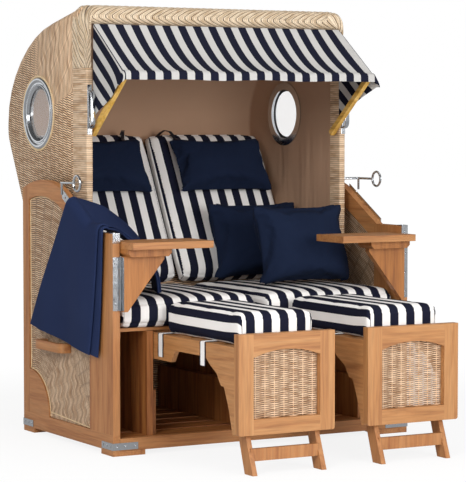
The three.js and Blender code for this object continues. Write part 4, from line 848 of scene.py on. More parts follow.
braid_straw = woven("plaited resin strand, rim", braid_lay, light="#efdabd", mid="#c8ab88",
                    gap_shade="#3d2a1d", depth=0.0016, fine=30.0, shaded=(0.05, 0.5))
dressed(braid, braid_straw, "hood", "hood_rim")


# Front posts: square timber wound closely with flat resin cane, level turn upon turn, some
# turns darker than their neighbours.
CANE_TURN, CANE_SAMPLES = 0.0078, 4
POST_ROUND = 0.007
CANE_TAIL, CANE_PROUD, CANE_SKIN, CANE_RIDGE = 0.048, 0.0014, 0.004, 0.0012


def post_ring(low, high, side, z, lift):
    """One level ring round a post: rounded at the front corners, and run on behind over the
    hood's outer side."""
    outer, inner = (high.x, low.x) if side > 0 else (low.x, high.x)
    outer += side * CANE_PROUD
    tail, skin = high.y + CANE_TAIL, outer - side * CANE_SKIN
    ring = []
    spans = [((inner, high.y), None), ((inner, low.y + POST_ROUND), None),
             ((inner + side * POST_ROUND, low.y), (inner, low.y)),
             ((outer - side * POST_ROUND, low.y), None),
             ((outer, low.y + POST_ROUND), (outer, low.y)), ((outer, high.y), None),
             ((outer, tail), None), ((skin, tail), None), ((skin, high.y), None)]
    for k, (spot, corner) in enumerate(spans):
        if corner:
            before = spans[k - 1][0]
            for t in (1 / 3, 2 / 3):
                ring.append([(1 - t) ** 2 * a + 2 * t * (1 - t) * b + t ** 2 * c
                             for a, b, c in zip(before, corner, spot)])
        ring.append(spot)
    middle_x, middle_y = (outer + inner) / 2, (low.y + high.y) / 2
    half_x, half_y = abs(outer - inner) / 2, (high.y - low.y) / 2
    return [Vector((middle_x + (x - middle_x) * (1 - lift / half_x),
                    middle_y + (y - middle_y) * (1 - lift / half_y), z)) for x, y in ring]


def cane_lay(node, spot, drift):
    """Level turns of cane with a narrow dark line of painted shade between them."""
    _, y, z = node("SeparateXYZ", (spot,), out=None)
    rounded, number = arched(node, node("Math", (z, CANE_TURN), "DIVIDE"), -14.0, flat=True)
    per_turn = node("TexWhiteNoise", {"W": number}, noise_dimensions="1D")
    darker = node("MapRange", (per_turn, 0.1, 0.45, 0.52, 1.0))
    return node("Math", (rounded, darker), "MULTIPLY"), number, y


cane = woven("wound resin cane", cane_lay, light="#e3c6a6", mid="#ba9672", gap_shade="#4c3322",
             depth=0.001, shaded=(0.1, 0.6))
for side_name, side in SIDES:
    low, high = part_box(f"hood_post_{side_name}")
    turns = int((high.z - low.z) / CANE_TURN * CANE_SAMPLES)
    rings = []
    for k in range(turns + 1):
        z = low.z + (high.z - low.z) * k / turns
        share = z / CANE_TURN - math.floor(z / CANE_TURN)
        rings.append(post_ring(low, high, side, z, CANE_RIDGE * abs(2 * share - 1) ** 2))
    post = tidied(from_rows(f"post_wrap_{side_name}", rings, ring=True), 40)
    dressed(post, cane, "hood", f"hood_post_{side_name}")


# Portholes: a polished steel flange and tube spun from sheet, with a rolled outer bead, a
# black rubber gasket, a clear acrylic pane and a cord whipped round the cut wicker.
porthole_low, porthole_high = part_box("porthole_ring_right")
PORTHOLE = (porthole_low + porthole_high) / 2
FLANGE, INNER_FLANGE, TUBE, BORE = 0.136, 0.128, 0.104, 0.098
BEAD, COLLAR, SLEEVE, SEAT_STEP, GASKET_BACK = 0.004, 0.1125, 0.0045, 0.0012, 0.012
WHIPPING, WHIPPING_PROUD = 0.0042, 0.0015
PORTHOLE_BOLTS, PORTHOLE_STEPS, WHIPPING_STEPS = 8, 72, 120


def round_porthole(reach, turn, out):
    """A point at a reach and a turn round the porthole's axis, and so far out along it."""
    return Vector((out, PORTHOLE.y + reach * math.cos(turn), PORTHOLE.z + reach * math.sin(turn)))


def spun(name, profile, side):
    """A profile of (radius, distance out) points turned round the porthole's axis."""
    rows = [[round_porthole(r, 2 * math.pi * k / PORTHOLE_STEPS, side * x) for r, x in profile]
            for k in range(PORTHOLE_STEPS)]
    return tidied(from_rows(name, rows, ring=True, loop=True), 35)


rubber = mottled("black rubber gasket", 120.0, "#17171a", "#2b2b2f", (0.5, 0.5))
pane, shader, node = new_material("clear acrylic pane")
feed(shader, "Base Color", (1, 1, 1, 1))
feed(shader, "Transmission Weight", 1.0)
feed(shader, "IOR", 1.49)
pane_haze = node("TexNoise", {"Vector": node("TexCoord", out=3), "Scale": 20.0})
feed(shader, "Roughness", node("MapRange", (pane_haze, 0, 1, 0.01, 0.05)))
for side_name, side in SIDES:
    face, inside, mid = hood_high.x + 0.0003, porthole_low.x, hood_high.x - GASKET_BACK
    edge, level, tube = face + BEAD, face + SEAT_STEP, TUBE - 0.001
    flange = spun(f"porthole_flange_{side_name}", [
        (BORE, inside), (INNER_FLANGE, inside), (INNER_FLANGE, inside + SLEEVE),
        (tube, inside + SLEEVE), (tube, face), (FLANGE, face), (FLANGE, face + BEAD * 0.5),
        (FLANGE - 0.001, edge - 0.0006), (FLANGE - 0.0045, edge + 0.0022),
        (FLANGE - 0.009, edge + 0.0028), (FLANGE - 0.0135, edge + 0.0018),
        (FLANGE - 0.0175, edge - 0.0014), (FLANGE - 0.019, level),
        (COLLAR - 0.0002, level), (COLLAR - 0.0025, face + 0.0038), (TUBE + 0.0015, face + 0.0034),
        (BORE, face - 0.006)], side)
    dressed(flange, steel, "hood", f"porthole_ring_{side_name}")
    gasket = spun(f"porthole_gasket_{side_name}", [
        (BORE - 0.006, mid + 0.0022), (BORE - 0.0002, mid + 0.0022), (BORE - 0.0002, mid + 0.006),
        (BORE - 0.0035, mid + 0.0058)], side)
    dressed(gasket, rubber, "hood")
    finish_node(f"porthole_pane_{side_name}", pane)
    turns = [math.pi * (2 * k + 1) / PORTHOLE_BOLTS for k in range(PORTHOLE_BOLTS)]
    bolts = [round_porthole(COLLAR + 0.0035, turn, side * level) for turn in turns]
    screwed(f"porthole_screws_{side_name}", [(bolt, (side, 0, 0)) for bolt in bolts], "hood")
    whip = [round_porthole(FLANGE + WHIPPING, 2 * math.pi * k / WHIPPING_STEPS,
                           side * (hood_high.x + WHIPPING_PROUD)) for k in range(WHIPPING_STEPS)]
    whipping = twisted_cord(f"porthole_whipping_{side_name}", whip, WHIPPING)
    dressed(whipping, cord_finish, "hood")


# Grab handles of bent steel band on the posts, each on two screwed feet, and the lock levers: a
# bent rod with a ring to pull, whose tooth drops into the perforated strip.
GRAB_FOOT_THICK, GRAB_FOOT_TALL, GRAB_FOOT_PAST = 0.0026, 0.024, 0.009
GRAB_SCREW_PAST, GRAB_SCREW_PROUD = 0.011, 0.0014
BENT_ROUND = 0.0009


def settled(piece):
    """Puts the object's place, turn and size into its mesh."""
    select_only(piece)
    bpy.ops.object.transform_apply(location=True, rotation=True, scale=True)
    return piece


def blocked(name, middle, size, width, segments):
    """A box about its middle, with its edges rounded."""
    bpy.ops.object.select_all(action="DESELECT")
    bpy.ops.mesh.primitive_cube_add(size=1, location=middle, scale=size)
    piece = modified(settled(bpy.context.object), "BEVEL", width=width, segments=segments)
    piece.name = name
    return piece


for side_name, _ in SIDES:
    for fitting, body in (("grab_handle", "hood"), ("lock_lever", f"lock_{side_name}")):
        bent = copied(f"{fitting}_{side_name}", f"{fitting}_bent_{side_name}")
        modified(bent, "BEVEL", width=BENT_ROUND, segments=2, limit_method="ANGLE",
                 angle_limit=math.radians(50))
        dressed(smoothed(bent, 62), steel, body, f"{fitting}_{side_name}")
    low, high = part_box(f"grab_handle_{side_name}")
    foot_x = (low.x + high.x) / 2
    foot_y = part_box(f"hood_post_{side_name}")[0].y - GRAB_FOOT_THICK / 2
    grab_foot = (high.x - low.x, GRAB_FOOT_THICK, GRAB_FOOT_TALL)
    feet = [blocked("foot", (foot_x, foot_y, z), grab_foot, 0.001, 2)
            for z in (low.z - GRAB_FOOT_PAST, high.z + GRAB_FOOT_PAST)]
    dressed(joined(feet, f"grab_feet_{side_name}"), steel, "hood")
    screwed(f"grab_screws_{side_name}", [
        ((foot_x, foot_y - GRAB_SCREW_PROUD, z), (0, -1, 0))
        for z in (low.z - GRAB_SCREW_PAST, high.z + GRAB_SCREW_PAST)], "hood")


# Backrest board of birch plywood behind the pads, painted darker than birch as painted shade where it
# shows between them.
finish_node("backrest_board", grained(
    "birch plywood", "X", light="#a37d54", mid="#8c6740", deep="#70502f"))


# Pads and cushions: boxed covers of striped canvas, navy and off-white yarn stripes of 33 mm,
# sewn round a foam and fibre filling that swells between the seams. Each kind is plumped once
# under inner pressure and copied. Stripes run front to back, and on down the boxing at the sides.
STRIPE_PITCH, STRIPE_SHARE = 0.066, 0.52
NAVY_STRIPE, OFF_WHITE = "#191b2c", "#efece9"
BACK_LEAN = math.radians(28.5)
PAD_VOXEL, PAD_PRESSURE, PAD_FRAMES = 0.0085, 4.0, 20
PAD_MARGINS, PAD_LIFT = (0.004, 0.004, 0.004), 0.0005
COVER = dict(quality=5, mass=0.25, tension_stiffness=12, compression_stiffness=12,
             bending_stiffness=0.4, use_pressure=True)
CREASE_WIDE, CREASE_DEEP = 0.0065, 0.0028
SEAM_UP, SEAM_DOWN = 0.016, 0.026
SEAM_TAPE = 0.0022


def rucked(node, shader, spot, threads, ruck_noise, soft, fine):
    """Cloth relief: fine threads over soft rucks, each bump with its strength and depth."""
    scale, detail, distortion = ruck_noise
    rucks = node("TexNoise", {"Vector": spot, "Scale": scale, "Detail": detail,
                              "Distortion": distortion})
    under = node("Bump", {"Height": rucks, "Strength": soft[0], "Distance": soft[1]})
    feed(shader, "Normal", node("Bump", {"Height": threads, "Strength": fine[0],
                                         "Distance": fine[1], "Normal": under}))
    feed(shader, "Specular IOR Level", CLOTH_GLOSS)


def striped(name, white=OFF_WHITE, seams=()):
    """Canvas whose stripes follow the first number of the piece's own UV map, in metres, with a
    navy tape along each seam."""
    material, shader, node = new_material(name)
    flat = node("UVMap", uv_map="cut")
    spot = node("TexCoord", out=3)
    across = node("SeparateXYZ", (flat,))
    centred = node("Math", (across, STRIPE_PITCH * STRIPE_SHARE / 2), "ADD")
    within = node("Math", (node("Math", (centred, STRIPE_PITCH), "DIVIDE"),), "FRACT")
    is_navy = node("Math", (within, STRIPE_SHARE), "LESS_THAN")
    for seam in seams:
        taped = node("Math", (across, seam, SEAM_TAPE), "COMPARE")
        is_navy = node("Math", (is_navy, taped), "MAXIMUM")
    threads = node("TexNoise", {"Vector": flat, "Scale": 900.0, "Detail": 1.0})
    faded = node("TexNoise", {"Vector": spot, "Scale": 7.0, "Detail": 2.0})
    tone = node("Math", (threads, 0.12, 0.9), "MULTIPLY_ADD")
    tone = node("Math", (faded, 0.08, tone), "MULTIPLY_ADD")
    colour = node("Mix", {0: is_navy, 6: linear(white), 7: linear(NAVY_STRIPE)}, **AS_COLOUR)
    toned = node("Mix", {0: 1.0, 6: colour, 7: tone}, **AS_COLOUR, blend_type="MULTIPLY")
    feed(shader, "Base Color", toned)
    feed(shader, "Roughness", node("MapRange", (faded, 0, 1, 0.86, 0.96)))
    rucked(node, shader, spot, threads, (8.0, 2.0, 0.8), (0.5, 0.012), (0.2, 0.0005))
    return material


stripes = striped("striped canvas")


def leaned(piece, lean):
    """The vertices' places along leaned axes, their low and high corners, and the turn back."""
    turn = Matrix.Rotation(-lean, 3, "X")
    points = [turn @ v.co for v in piece.data.vertices]
    low, high = (Vector([bound(p[k] for p in points) for k in range(3)]) for bound in (min, max))
    return points, low, high, turn.inverted()


def shrunk(piece, margins, lean=0.0):
    """Draws a solid in by a margin on each side along each of its own leaned axes."""
    points, low, high, turn_back = leaned(piece, lean)
    middle = (low + high) / 2
    for vertex, point in zip(piece.data.vertices, points):
        vertex.co = turn_back @ Vector([
            middle[k] + (point[k] - middle[k]) * (1 - 2 * margins[k] / (high[k] - low[k]))
            for k in range(3)])


def plumped(piece, cap, voxel=PAD_VOXEL, pressure=PAD_PRESSURE, rest=None):
    """Swells a cover under inner pressure, then gives it one subdivision. rest is a point and
    an outward normal of the board that the pad lies on, past which it can't swell."""
    modified(piece, "REMESH", mode="VOXEL", voxel_size=voxel)
    start = [v.co.copy() for v in piece.data.vertices]
    cover = piece.modifiers.new("cover", "CLOTH")
    for key, value in COVER.items():
        setattr(cover.settings, key, value)
    cover.settings.uniform_pressure_force = pressure
    cover.settings.effector_weights.gravity = 0
    for step in range(1, PAD_FRAMES + 1):
        scene.frame_set(step)
    bpy.ops.object.modifier_apply(modifier=cover.name)
    for vertex, before in zip(piece.data.vertices, start):
        move = vertex.co - before
        if move.length > cap:
            vertex.co = before + move * (cap / move.length)
    scene.frame_set(1)
    if rest:
        for vertex in piece.data.vertices:
            over = (vertex.co - rest[0]).dot(rest[1])
            if over < 0:
                vertex.co -= rest[1] * over
    modified(piece, "SUBSURF", levels=1, render_levels=1)
    bpy.ops.object.shade_smooth()


def creased(piece, height_of, levels):
    """Draws the cover in along its seams, the levels of height_of(point)."""
    mesh = bmesh.new()
    mesh.from_mesh(piece.data)
    for vertex in mesh.verts:
        near = min(abs(height_of(vertex.co) - level) for level in levels)
        if near < CREASE_WIDE and abs(vertex.normal.x) + abs(vertex.normal.y) > 0.2:
            vertex.co -= vertex.normal * CREASE_DEEP * (1 - near / CREASE_WIDE) ** 1.5
    mesh.to_mesh(piece.data)
    mesh.free()


def moved_copy(piece, name, shift=(0, 0, 0), flip=False):
    """Another of the same pad, with its own mesh, moved or mirrored across the chair."""
    twin = placed(name, piece.data.copy())
    twin.data.transform(Matrix.Diagonal((-1, 1, 1, 1)) if flip else Matrix.Translation(shift))
    if flip:
        twin.data.flip_normals()
    return twin


def filled(piece, finish, body, node_name):
    """Dresses a stuffed piece."""
    dressed(piece, finish, body, node_name)


SEAT_NAVY, SEAT_PITCH, SEAT_CAP = -0.517, 0.0675, 0.008
BOXING_REACH, BOXING_TURN = 0.012, 0.2
seat_low, seat_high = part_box("seat_cushion_left")
seat_pad = copied("seat_cushion_left", "seat_pad_left")
shrunk(seat_pad, PAD_MARGINS)
plumped(seat_pad, SEAT_CAP, rest=(Vector((0, 0, seat_low.z + PAD_LIFT)), Vector((0, 0, 1))))
creased(seat_pad, lambda p: p.z, (seat_low.z + SEAM_UP, seat_high.z - SEAM_DOWN))


def wrapped_cut(pad, start, pitch, depth):
    """Stripes that run on from a pad's face down the boxing of its two sides."""
    low, high = (bound(v.co.x for v in pad.data.vertices) for bound in (min, max))

    def place(point, normal):
        outward = point.x - (low + high) / 2
        boxing = abs(outward) > (high - low) / 2 - BOXING_REACH and abs(normal.x) > BOXING_TURN
        drop = math.copysign(depth(point), outward) if boxing else 0.0
        return ((point.x - start) * STRIPE_PITCH / pitch + drop, point.y + point.z)
    return place


seat_twin = moved_copy(seat_pad, "seat_pad_right", flip=True)
for side_name, pad in (("left", seat_pad), ("right", seat_twin)):
    lay_uv(pad, "cut", wrapped_cut(pad, SEAT_NAVY, SEAT_PITCH, lambda p: seat_high.z - p.z))
    filled(pad, stripes, "base", f"seat_cushion_{side_name}")

BACK_NAVY, BACK_PITCH, BACK_CAP = -0.0028, 0.0665, 0.010
BACK_MARGINS, BACK_SEAMS = (-0.008, 0.005, -0.012), (0.016, 0.070)
back_pad = copied("back_pad_left", "back_cushion_left")
deepest = max(v.co.y * math.cos(BACK_LEAN) - v.co.z * math.sin(BACK_LEAN)
              for v in back_pad.data.vertices)
back_normal = Vector((0, -math.cos(BACK_LEAN), math.sin(BACK_LEAN)))
back_rest = Vector((0, deepest * math.cos(BACK_LEAN), -deepest * math.sin(BACK_LEAN)))
shrunk(back_pad, BACK_MARGINS, -BACK_LEAN)
plumped(back_pad, BACK_CAP, rest=(back_rest + back_normal * PAD_LIFT, back_normal))
creased(back_pad, lambda p: (p - back_rest).dot(back_normal), BACK_SEAMS)
back_face = max((v.co - back_rest).dot(back_normal) for v in back_pad.data.vertices)

back_twin = moved_copy(back_pad, "back_cushion_right", flip=True)
for side_name, pad in (("left", back_pad), ("right", back_twin)):
    lay_uv(pad, "cut", wrapped_cut(pad, BACK_NAVY, BACK_PITCH,
                                   lambda p: back_face - (p - back_rest).dot(back_normal)))
    filled(pad, stripes, "hood", f"back_pad_{side_name}")


# Footrest pads: the same boxed canvas, shorter, with two white straps bound in navy that
# pass under each pad and hang outside the footrest's boards.
FOOT_HEIGHT, FOOT_WIDE, FOOT_SIDE_GAP, FOOT_FRONT_GAP = 0.117, 0.306, 0.020, 0.032
FOOT_HEADROOM, FOOT_ROUND, FOOT_CAP = 0.009, 0.016, 0.009
STRAP_WIDE, STRAP_THICK, STRAP_DROP, STRAP_CLEAR = 0.040, 0.0016, 0.0815, 0.0013
STRAP_FRONTS, STRAP_BINDING, STRAP_SWAY = (-0.045, -0.355), 0.36, 0.0015
FOOT_NAVY = {"left": (-0.372, 0.0660), "right": (0.137, 0.0672)}
foot_frame_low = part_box("footrest_frame_left")[0]
foot_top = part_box("footrest_pad_left")[1].z
foot_bottom = foot_top - FOOT_HEIGHT
pad_front, pad_back = foot_frame_low.y + FOOT_FRONT_GAP, front_plane - 0.002
foot_size = (FOOT_WIDE, pad_back - pad_front, FOOT_HEIGHT - FOOT_HEADROOM)
foot_middle = (foot_frame_low.x + FOOT_SIDE_GAP + FOOT_WIDE / 2, (pad_front + pad_back) / 2,
               foot_bottom + (FOOT_HEIGHT - FOOT_HEADROOM) / 2)
foot_pad = blocked("foot_cushion_left", foot_middle, foot_size, FOOT_ROUND, 3)
shrunk(foot_pad, PAD_MARGINS)
plumped(foot_pad, FOOT_CAP, rest=(Vector((0, 0, foot_bottom + PAD_LIFT)), Vector((0, 0, 1))))
creased(foot_pad, lambda p: p.z, (foot_bottom + 0.014, foot_top - SEAM_DOWN))

strap_cloth, shader, node = new_material("woven strap, white bound in navy")
strap_flat = node("UVMap", uv_map="cut")
strap_edge = node("Math", (node("SeparateXYZ", (strap_flat,)), STRAP_WIDE * STRAP_BINDING),
                  "GREATER_THAN")
feed(shader, "Base Color", node("Mix", {0: strap_edge, 6: linear(OFF_WHITE),
                                        7: linear(NAVY_STRIPE)}, **AS_COLOUR))
strap_ribs = node("TexNoise", {"Vector": strap_flat, "Scale": 600.0})
feed(shader, "Roughness", node("MapRange", (strap_ribs, 0, 1, 0.8, 0.95)))
feed(shader, "Normal", node("Bump", {"Height": strap_ribs, "Strength": 0.4, "Distance": 0.0006}))


def thickened(piece, thickness, offset, degrees):
    """Gives a sheet of cloth its thickness, and shades it smooth."""
    return smoothed(modified(piece, "SOLIDIFY", thickness=thickness, offset=offset), degrees)


def strap(name, low_x, high_x, front):
    """One strap: down outside both boards, and across under the pad."""
    path = [Vector((low_x, 0, foot_bottom - STRAP_DROP + d)) for d in (0.0, 0.02, 0.045, 0.07)]
    path += [Vector((low_x, 0, foot_bottom - 0.001)),
             Vector((low_x + 0.004, 0, foot_bottom + 0.0012))]
    path += [Vector((-p.x + low_x + high_x, 0, p.z)) for p in reversed(path)]
    rows = []
    for number, point in enumerate(path):
        sway = STRAP_SWAY * math.sin(2.1 * number)
        rows.append([Vector((point.x, front_plane + front + sway * (point.z < foot_bottom - 0.02)
                             + STRAP_WIDE * share, point.z)) for share in (0, 0.14, 0.5, 0.86, 1)])
    piece = from_rows(name, rows)
    lay_uv(piece, "cut", lambda p, n: (abs(p.y - front_plane - front - STRAP_WIDE / 2), p.z))
    return thickened(piece, STRAP_THICK, 0.0, 40)


frame_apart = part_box("footrest_frame_right")[0].x - foot_frame_low.x
foot_twin = moved_copy(foot_pad, "foot_cushion_right", shift=(frame_apart, 0, 0))
for side_name, pad in (("left", foot_pad), ("right", foot_twin)):
    lay_uv(pad, "cut", wrapped_cut(pad, *FOOT_NAVY[side_name], lambda p: foot_top - p.z))
    body, slide = f"footrest_{side_name}", f"footrest_slide_{side_name}"
    filled(pad, stripes, body, f"footrest_pad_{side_name}")
    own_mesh(pad)
    low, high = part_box(f"footrest_frame_{side_name}")
    for number, front in enumerate(STRAP_FRONTS):
        band = strap(f"foot_strap_{side_name}_{number + 1}", low.x - STRAP_CLEAR,
                     high.x + STRAP_CLEAR, front)
        dressed(band, strap_cloth, body)
        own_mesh(band)


# Neck pillows and loose pillows: knife-edged covers of navy cotton, fibre-filled, so they
# crown in the middle and pucker to their corners. Black ribbons tie the neck pillows back.
PILLOW_VOXEL, NECK_VOXEL, PILLOW_CAP, PILLOW_DRAW, NECK_SAG = 0.008, 0.007, 0.022, 0.005, 0.026
NECK_MARGINS, LOOSE_MARGINS = (-0.006, 0.0, -0.006), (-0.008, -0.008, -0.008)


def plain_cloth(name, dark, light, threads_noise, tone_noise, worn, *relief):
    """Cloth of one colour, a little uneven, with soft rucks under its threads."""
    material, shader, node = new_material(name)
    spot = node("TexCoord", out=3)
    threads, tone = (node("TexNoise", {"Vector": spot, "Scale": scale, "Detail": detail})
                     for scale, detail in (threads_noise, tone_noise))
    feed(shader, "Base Color", node("Mix", {0: tone, 6: linear(dark), 7: linear(light)}, **AS_COLOUR))
    feed(shader, "Roughness", node("MapRange", (threads, 0, 1, *worn)))
    rucked(node, shader, spot, threads, *relief)
    return material


navy = plain_cloth("navy cotton", "#121b30", "#1b263e", (850.0, 1.0), (6.0, 3.0), (0.86, 0.96),
                   (9.0, 2.0, 1.2), (0.6, 0.014), (0.25, 0.0005))


def pinched(piece, draw, thin, sag=0.0, lean=0.0):
    """Draws a pillow's sides in between its corners, thins it towards its seam and lets its
    filling settle."""
    modified(piece, "REMESH", mode="VOXEL", voxel_size=PILLOW_VOXEL)
    points, low, high, turn_back = leaned(piece, lean)
    middle, half = (low + high) / 2, (high - low) / 2
    for vertex, point in zip(piece.data.vertices, points):
        x, y, z = [(point[k] - middle[k]) / half[k] for k in range(3)]
        drawn = Vector((point.x - draw * x * (1 - z * z), point.y, point.z - draw * z * (1 - x * x)))
        crown = 1 - (1 - thin) * max(abs(x), abs(z)) ** 4 - 0.25 * (x * z) ** 2
        drawn.y = middle.y + (point.y - middle.y) * crown
        drawn.z -= sag * (0.6 - 0.4 * z)
        vertex.co = turn_back @ drawn


def apart(node_name, other):
    """How far the low corner of a CAD node is from another's."""
    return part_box(other)[0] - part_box(node_name)[0]


neck = copied("neck_pillow_left", "neck_cushion_left")
shrunk(neck, NECK_MARGINS, -BACK_LEAN)
pinched(neck, PILLOW_DRAW, 0.4, NECK_SAG, -BACK_LEAN)
plumped(neck, PILLOW_CAP, voxel=NECK_VOXEL)
neck_shift = (apart("neck_pillow_left", "neck_pillow_right").x, 0, 0)
neck_twin = moved_copy(neck, "neck_cushion_right", shift=neck_shift)
for side_name, pillow in (("left", neck), ("right", neck_twin)):
    filled(pillow, navy, "hood", f"neck_pillow_{side_name}")

loose = copied("throw_pillow_front", "loose_pillow_front")
shrunk(loose, LOOSE_MARGINS)
pinched(loose, PILLOW_DRAW, 0.5)
plumped(loose, PILLOW_CAP, voxel=PILLOW_VOXEL)
loose_shift = apart("throw_pillow_front", "throw_pillow_rear")
loose_twin = moved_copy(loose, "loose_pillow_rear", shift=loose_shift)
for which, pillow in (("front", loose), ("rear", loose_twin)):
    filled(pillow, navy, "base", f"throw_pillow_{which}")

ribbon_cloth = mottled("black satin ribbon", 500.0, "#0c0d12", "#20222c", (0.35, 0.5))
RIBBON_WIDE, RIBBON_THICK, RIBBON_STEP = 0.014, 0.0012, 0.004
back_along = Vector((0, math.sin(BACK_LEAN), math.cos(BACK_LEAN)))


def ribbon(name, x, spread):
    """A ribbon from the top seam of a neck pillow, looped up over the top edge of its back pad."""
    pillow_top, pad_top = (max((v.co - back_rest).dot(back_along) for v in piece.data.vertices)
                           for piece in (neck, back_pad))
    path = []
    for top, past, off, aside in (
            (pillow_top, -0.006, 0.132, 0.0), (pillow_top, 0.008, 0.118, 0.1),
            (pillow_top, 0.018, 0.103, 0.25), (pad_top, -0.004, 0.096, 0.5),
            (pad_top, 0.012, 0.078, 0.75), (pad_top, 0.015, 0.052, 0.9),
            (pad_top, 0.012, 0.026, 1.0), (pad_top, 0.004, 0.004, 1.0)):
        point = back_rest + back_along * (top + past) + back_normal * off
        path.append(Vector((x + spread * aside, point.y, point.z)))
    path = evened(path, RIBBON_STEP)
    rows = []
    for i, here in enumerate(path):
        tangent = (path[min(i + 1, len(path) - 1)] - path[max(i - 1, 0)]).normalized()
        beside = (Vector((1, 0, 0)) - tangent * tangent.x).normalized()
        rows.append([here + beside * RIBBON_WIDE * share for share in (-0.5, -0.17, 0.17, 0.5)])
    band = thickened(from_rows(name, rows), RIBBON_THICK, 0.0, 60)
    dressed(band, ribbon_cloth, "hood")


ribbon("neck_ribbon_left", -0.135, 0.05)
ribbon("neck_ribbon_right", 0.125, -0.045)


# Awning: a frame of varnished ash rails that turns on the posts, and one curved canopy of the
# striped canvas, sewn to a slanting flap on each side. The canopy is fixed to the rim behind,
# hangs slack between the rim and the front bar, and ends in a hemmed edge.
AWNING_NAVY, AWNING_PITCH = 0.028, 0.0644
AWNING_EDGE, AWNING_SAG, AWNING_DROP = 0.5259, 0.026, 0.024
AWNING_REAR = Vector((0, 0.105, 1.5297))
AWNING_OVER = Vector((0, -0.132, 1.3577))
AWNING_FORE = Vector((0, -0.152, 1.350))
FLAP_REAR, FLAP_FRONT, FLAP_BULGE, FLAP_WAVE = 1.190, 1.306, 0.018, 0.006
CANOPY_RIPPLE, CANOPY_CREST = 0.0022, 0.003
CANVAS_THICK = 0.0018
CANOPY_LONG, CANOPY_WIDE, FLAP_STEPS = 56, 60, 12
CANOPY_OVER, CANOPY_FORE = 0.86, 0.94
# The awning's white is the pads' off-white painted greyer, as painted shade on the canopy.
AWNING_SHADED_WHITE = "#c0bebb"

finish_node("awning_frame", grained(
    "varnished ash", "Y", light="#eec677", mid="#d8a74a", deep="#b9893a"))


def canopy_line(share):
    """The canopy's middle line: a point, its sag and how far forward it is, from 0 to 1."""
    if share <= CANOPY_OVER:
        t = share / CANOPY_OVER
        return AWNING_REAR.lerp(AWNING_OVER, t), 4 * AWNING_SAG * t * (1 - t), t
    if share <= CANOPY_FORE:
        t = (share - CANOPY_OVER) / (CANOPY_FORE - CANOPY_OVER)
        point = AWNING_OVER.lerp(AWNING_FORE, t)
        point.z += CANOPY_CREST * math.sin(math.pi * t)
        return point, 0.0, 1.0
    t = (share - CANOPY_FORE) / (1 - CANOPY_FORE)
    return AWNING_FORE - Vector((0, 0.001 * t, AWNING_DROP * t)), 0.0, 1.0


awning_rows, awning_cut = [], []
for i in range(CANOPY_LONG + 1):
    share = i / CANOPY_LONG
    point, sag, forward = canopy_line(share)
    fall = FLAP_REAR + (FLAP_FRONT - FLAP_REAR) * forward
    row = []
    for k in range(-FLAP_STEPS, CANOPY_WIDE + FLAP_STEPS + 1):
        if 0 <= k <= CANOPY_WIDE:
            across = -1 + 2 * k / CANOPY_WIDE
            slack = sag * (1 - across ** 4)
            slack += CANOPY_RIPPLE * forward * (1 - across ** 2) * math.sin(9.5 * across + 4 * share)
            row.append(Vector((AWNING_EDGE * across, point.y, point.z - slack)))
            cut = AWNING_EDGE * across
        else:
            side = -1 if k < 0 else 1
            down = (-k if k < 0 else k - CANOPY_WIDE) / FLAP_STEPS
            out = FLAP_BULGE * math.sin(math.pi * down / 2) * forward
            out += FLAP_WAVE * down * math.sin(7.0 * share + 1.1) - FLAP_WAVE / 2 * down
            height = point.z + (fall - point.z) * down
            row.append(Vector((side * (AWNING_EDGE + out), point.y, height)))
            cut = side * (AWNING_EDGE + (point.z - height) * 0.86)
        awning_cut.append(((cut - AWNING_NAVY) * STRIPE_PITCH / AWNING_PITCH, share))
    awning_rows.append(row)
canopy = from_rows("awning_canopy", awning_rows)
numbered_uv(canopy, "cut", awning_cut)
awning_canvas = striped("striped canvas, awning, in painted shade", AWNING_SHADED_WHITE, [
    (side * AWNING_EDGE - AWNING_NAVY) * STRIPE_PITCH / AWNING_PITCH for side in (-1, 1)])
thickened(canopy, CANVAS_THICK, -1.0, 50)
dressed(canopy, awning_canvas, None, "awning_cloth")
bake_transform(canopy)


# Folded throw: a blanket of navy wool felt, folded in four and laid over the left arm, the
# outer fold a little back from the inner one. Its two inner plies lie against the frame.
THROW_PLY, THROW_CLEAR = 0.0034, 0.0045
THROW_BACK_STEP = 0.92
ARM_TOP, ARM_SLOPE, SLOPE_START = 0.785, 0.5720, 0.170
STRIP_RIDGE, STRIP_SKIN = 0.0107, 0.6233
THROW_REAR_BOTTOM, THROW_FRONT_BOTTOM = (0.648, 0.418), (0.096, 0.343)
THROW_REAR_TOP, THROW_FRONT_TOP = 0.326, 0.052
THROW_INNER_FRONT, THROW_INNER_SHARE, THROW_REACH, THROW_TAPER = 0.108, 0.78, 0.300, 0.3
SEAT_REST, THROW_WAVE, THROW_RUCK = 0.5603, 0.006, 0.0012
THROW_INWARD = [(0.06, 0.02), (0.3, 0.1), (0.56, 0.27), (0.8, 0.5), (0.93, 0.74), (0.97, 1)]


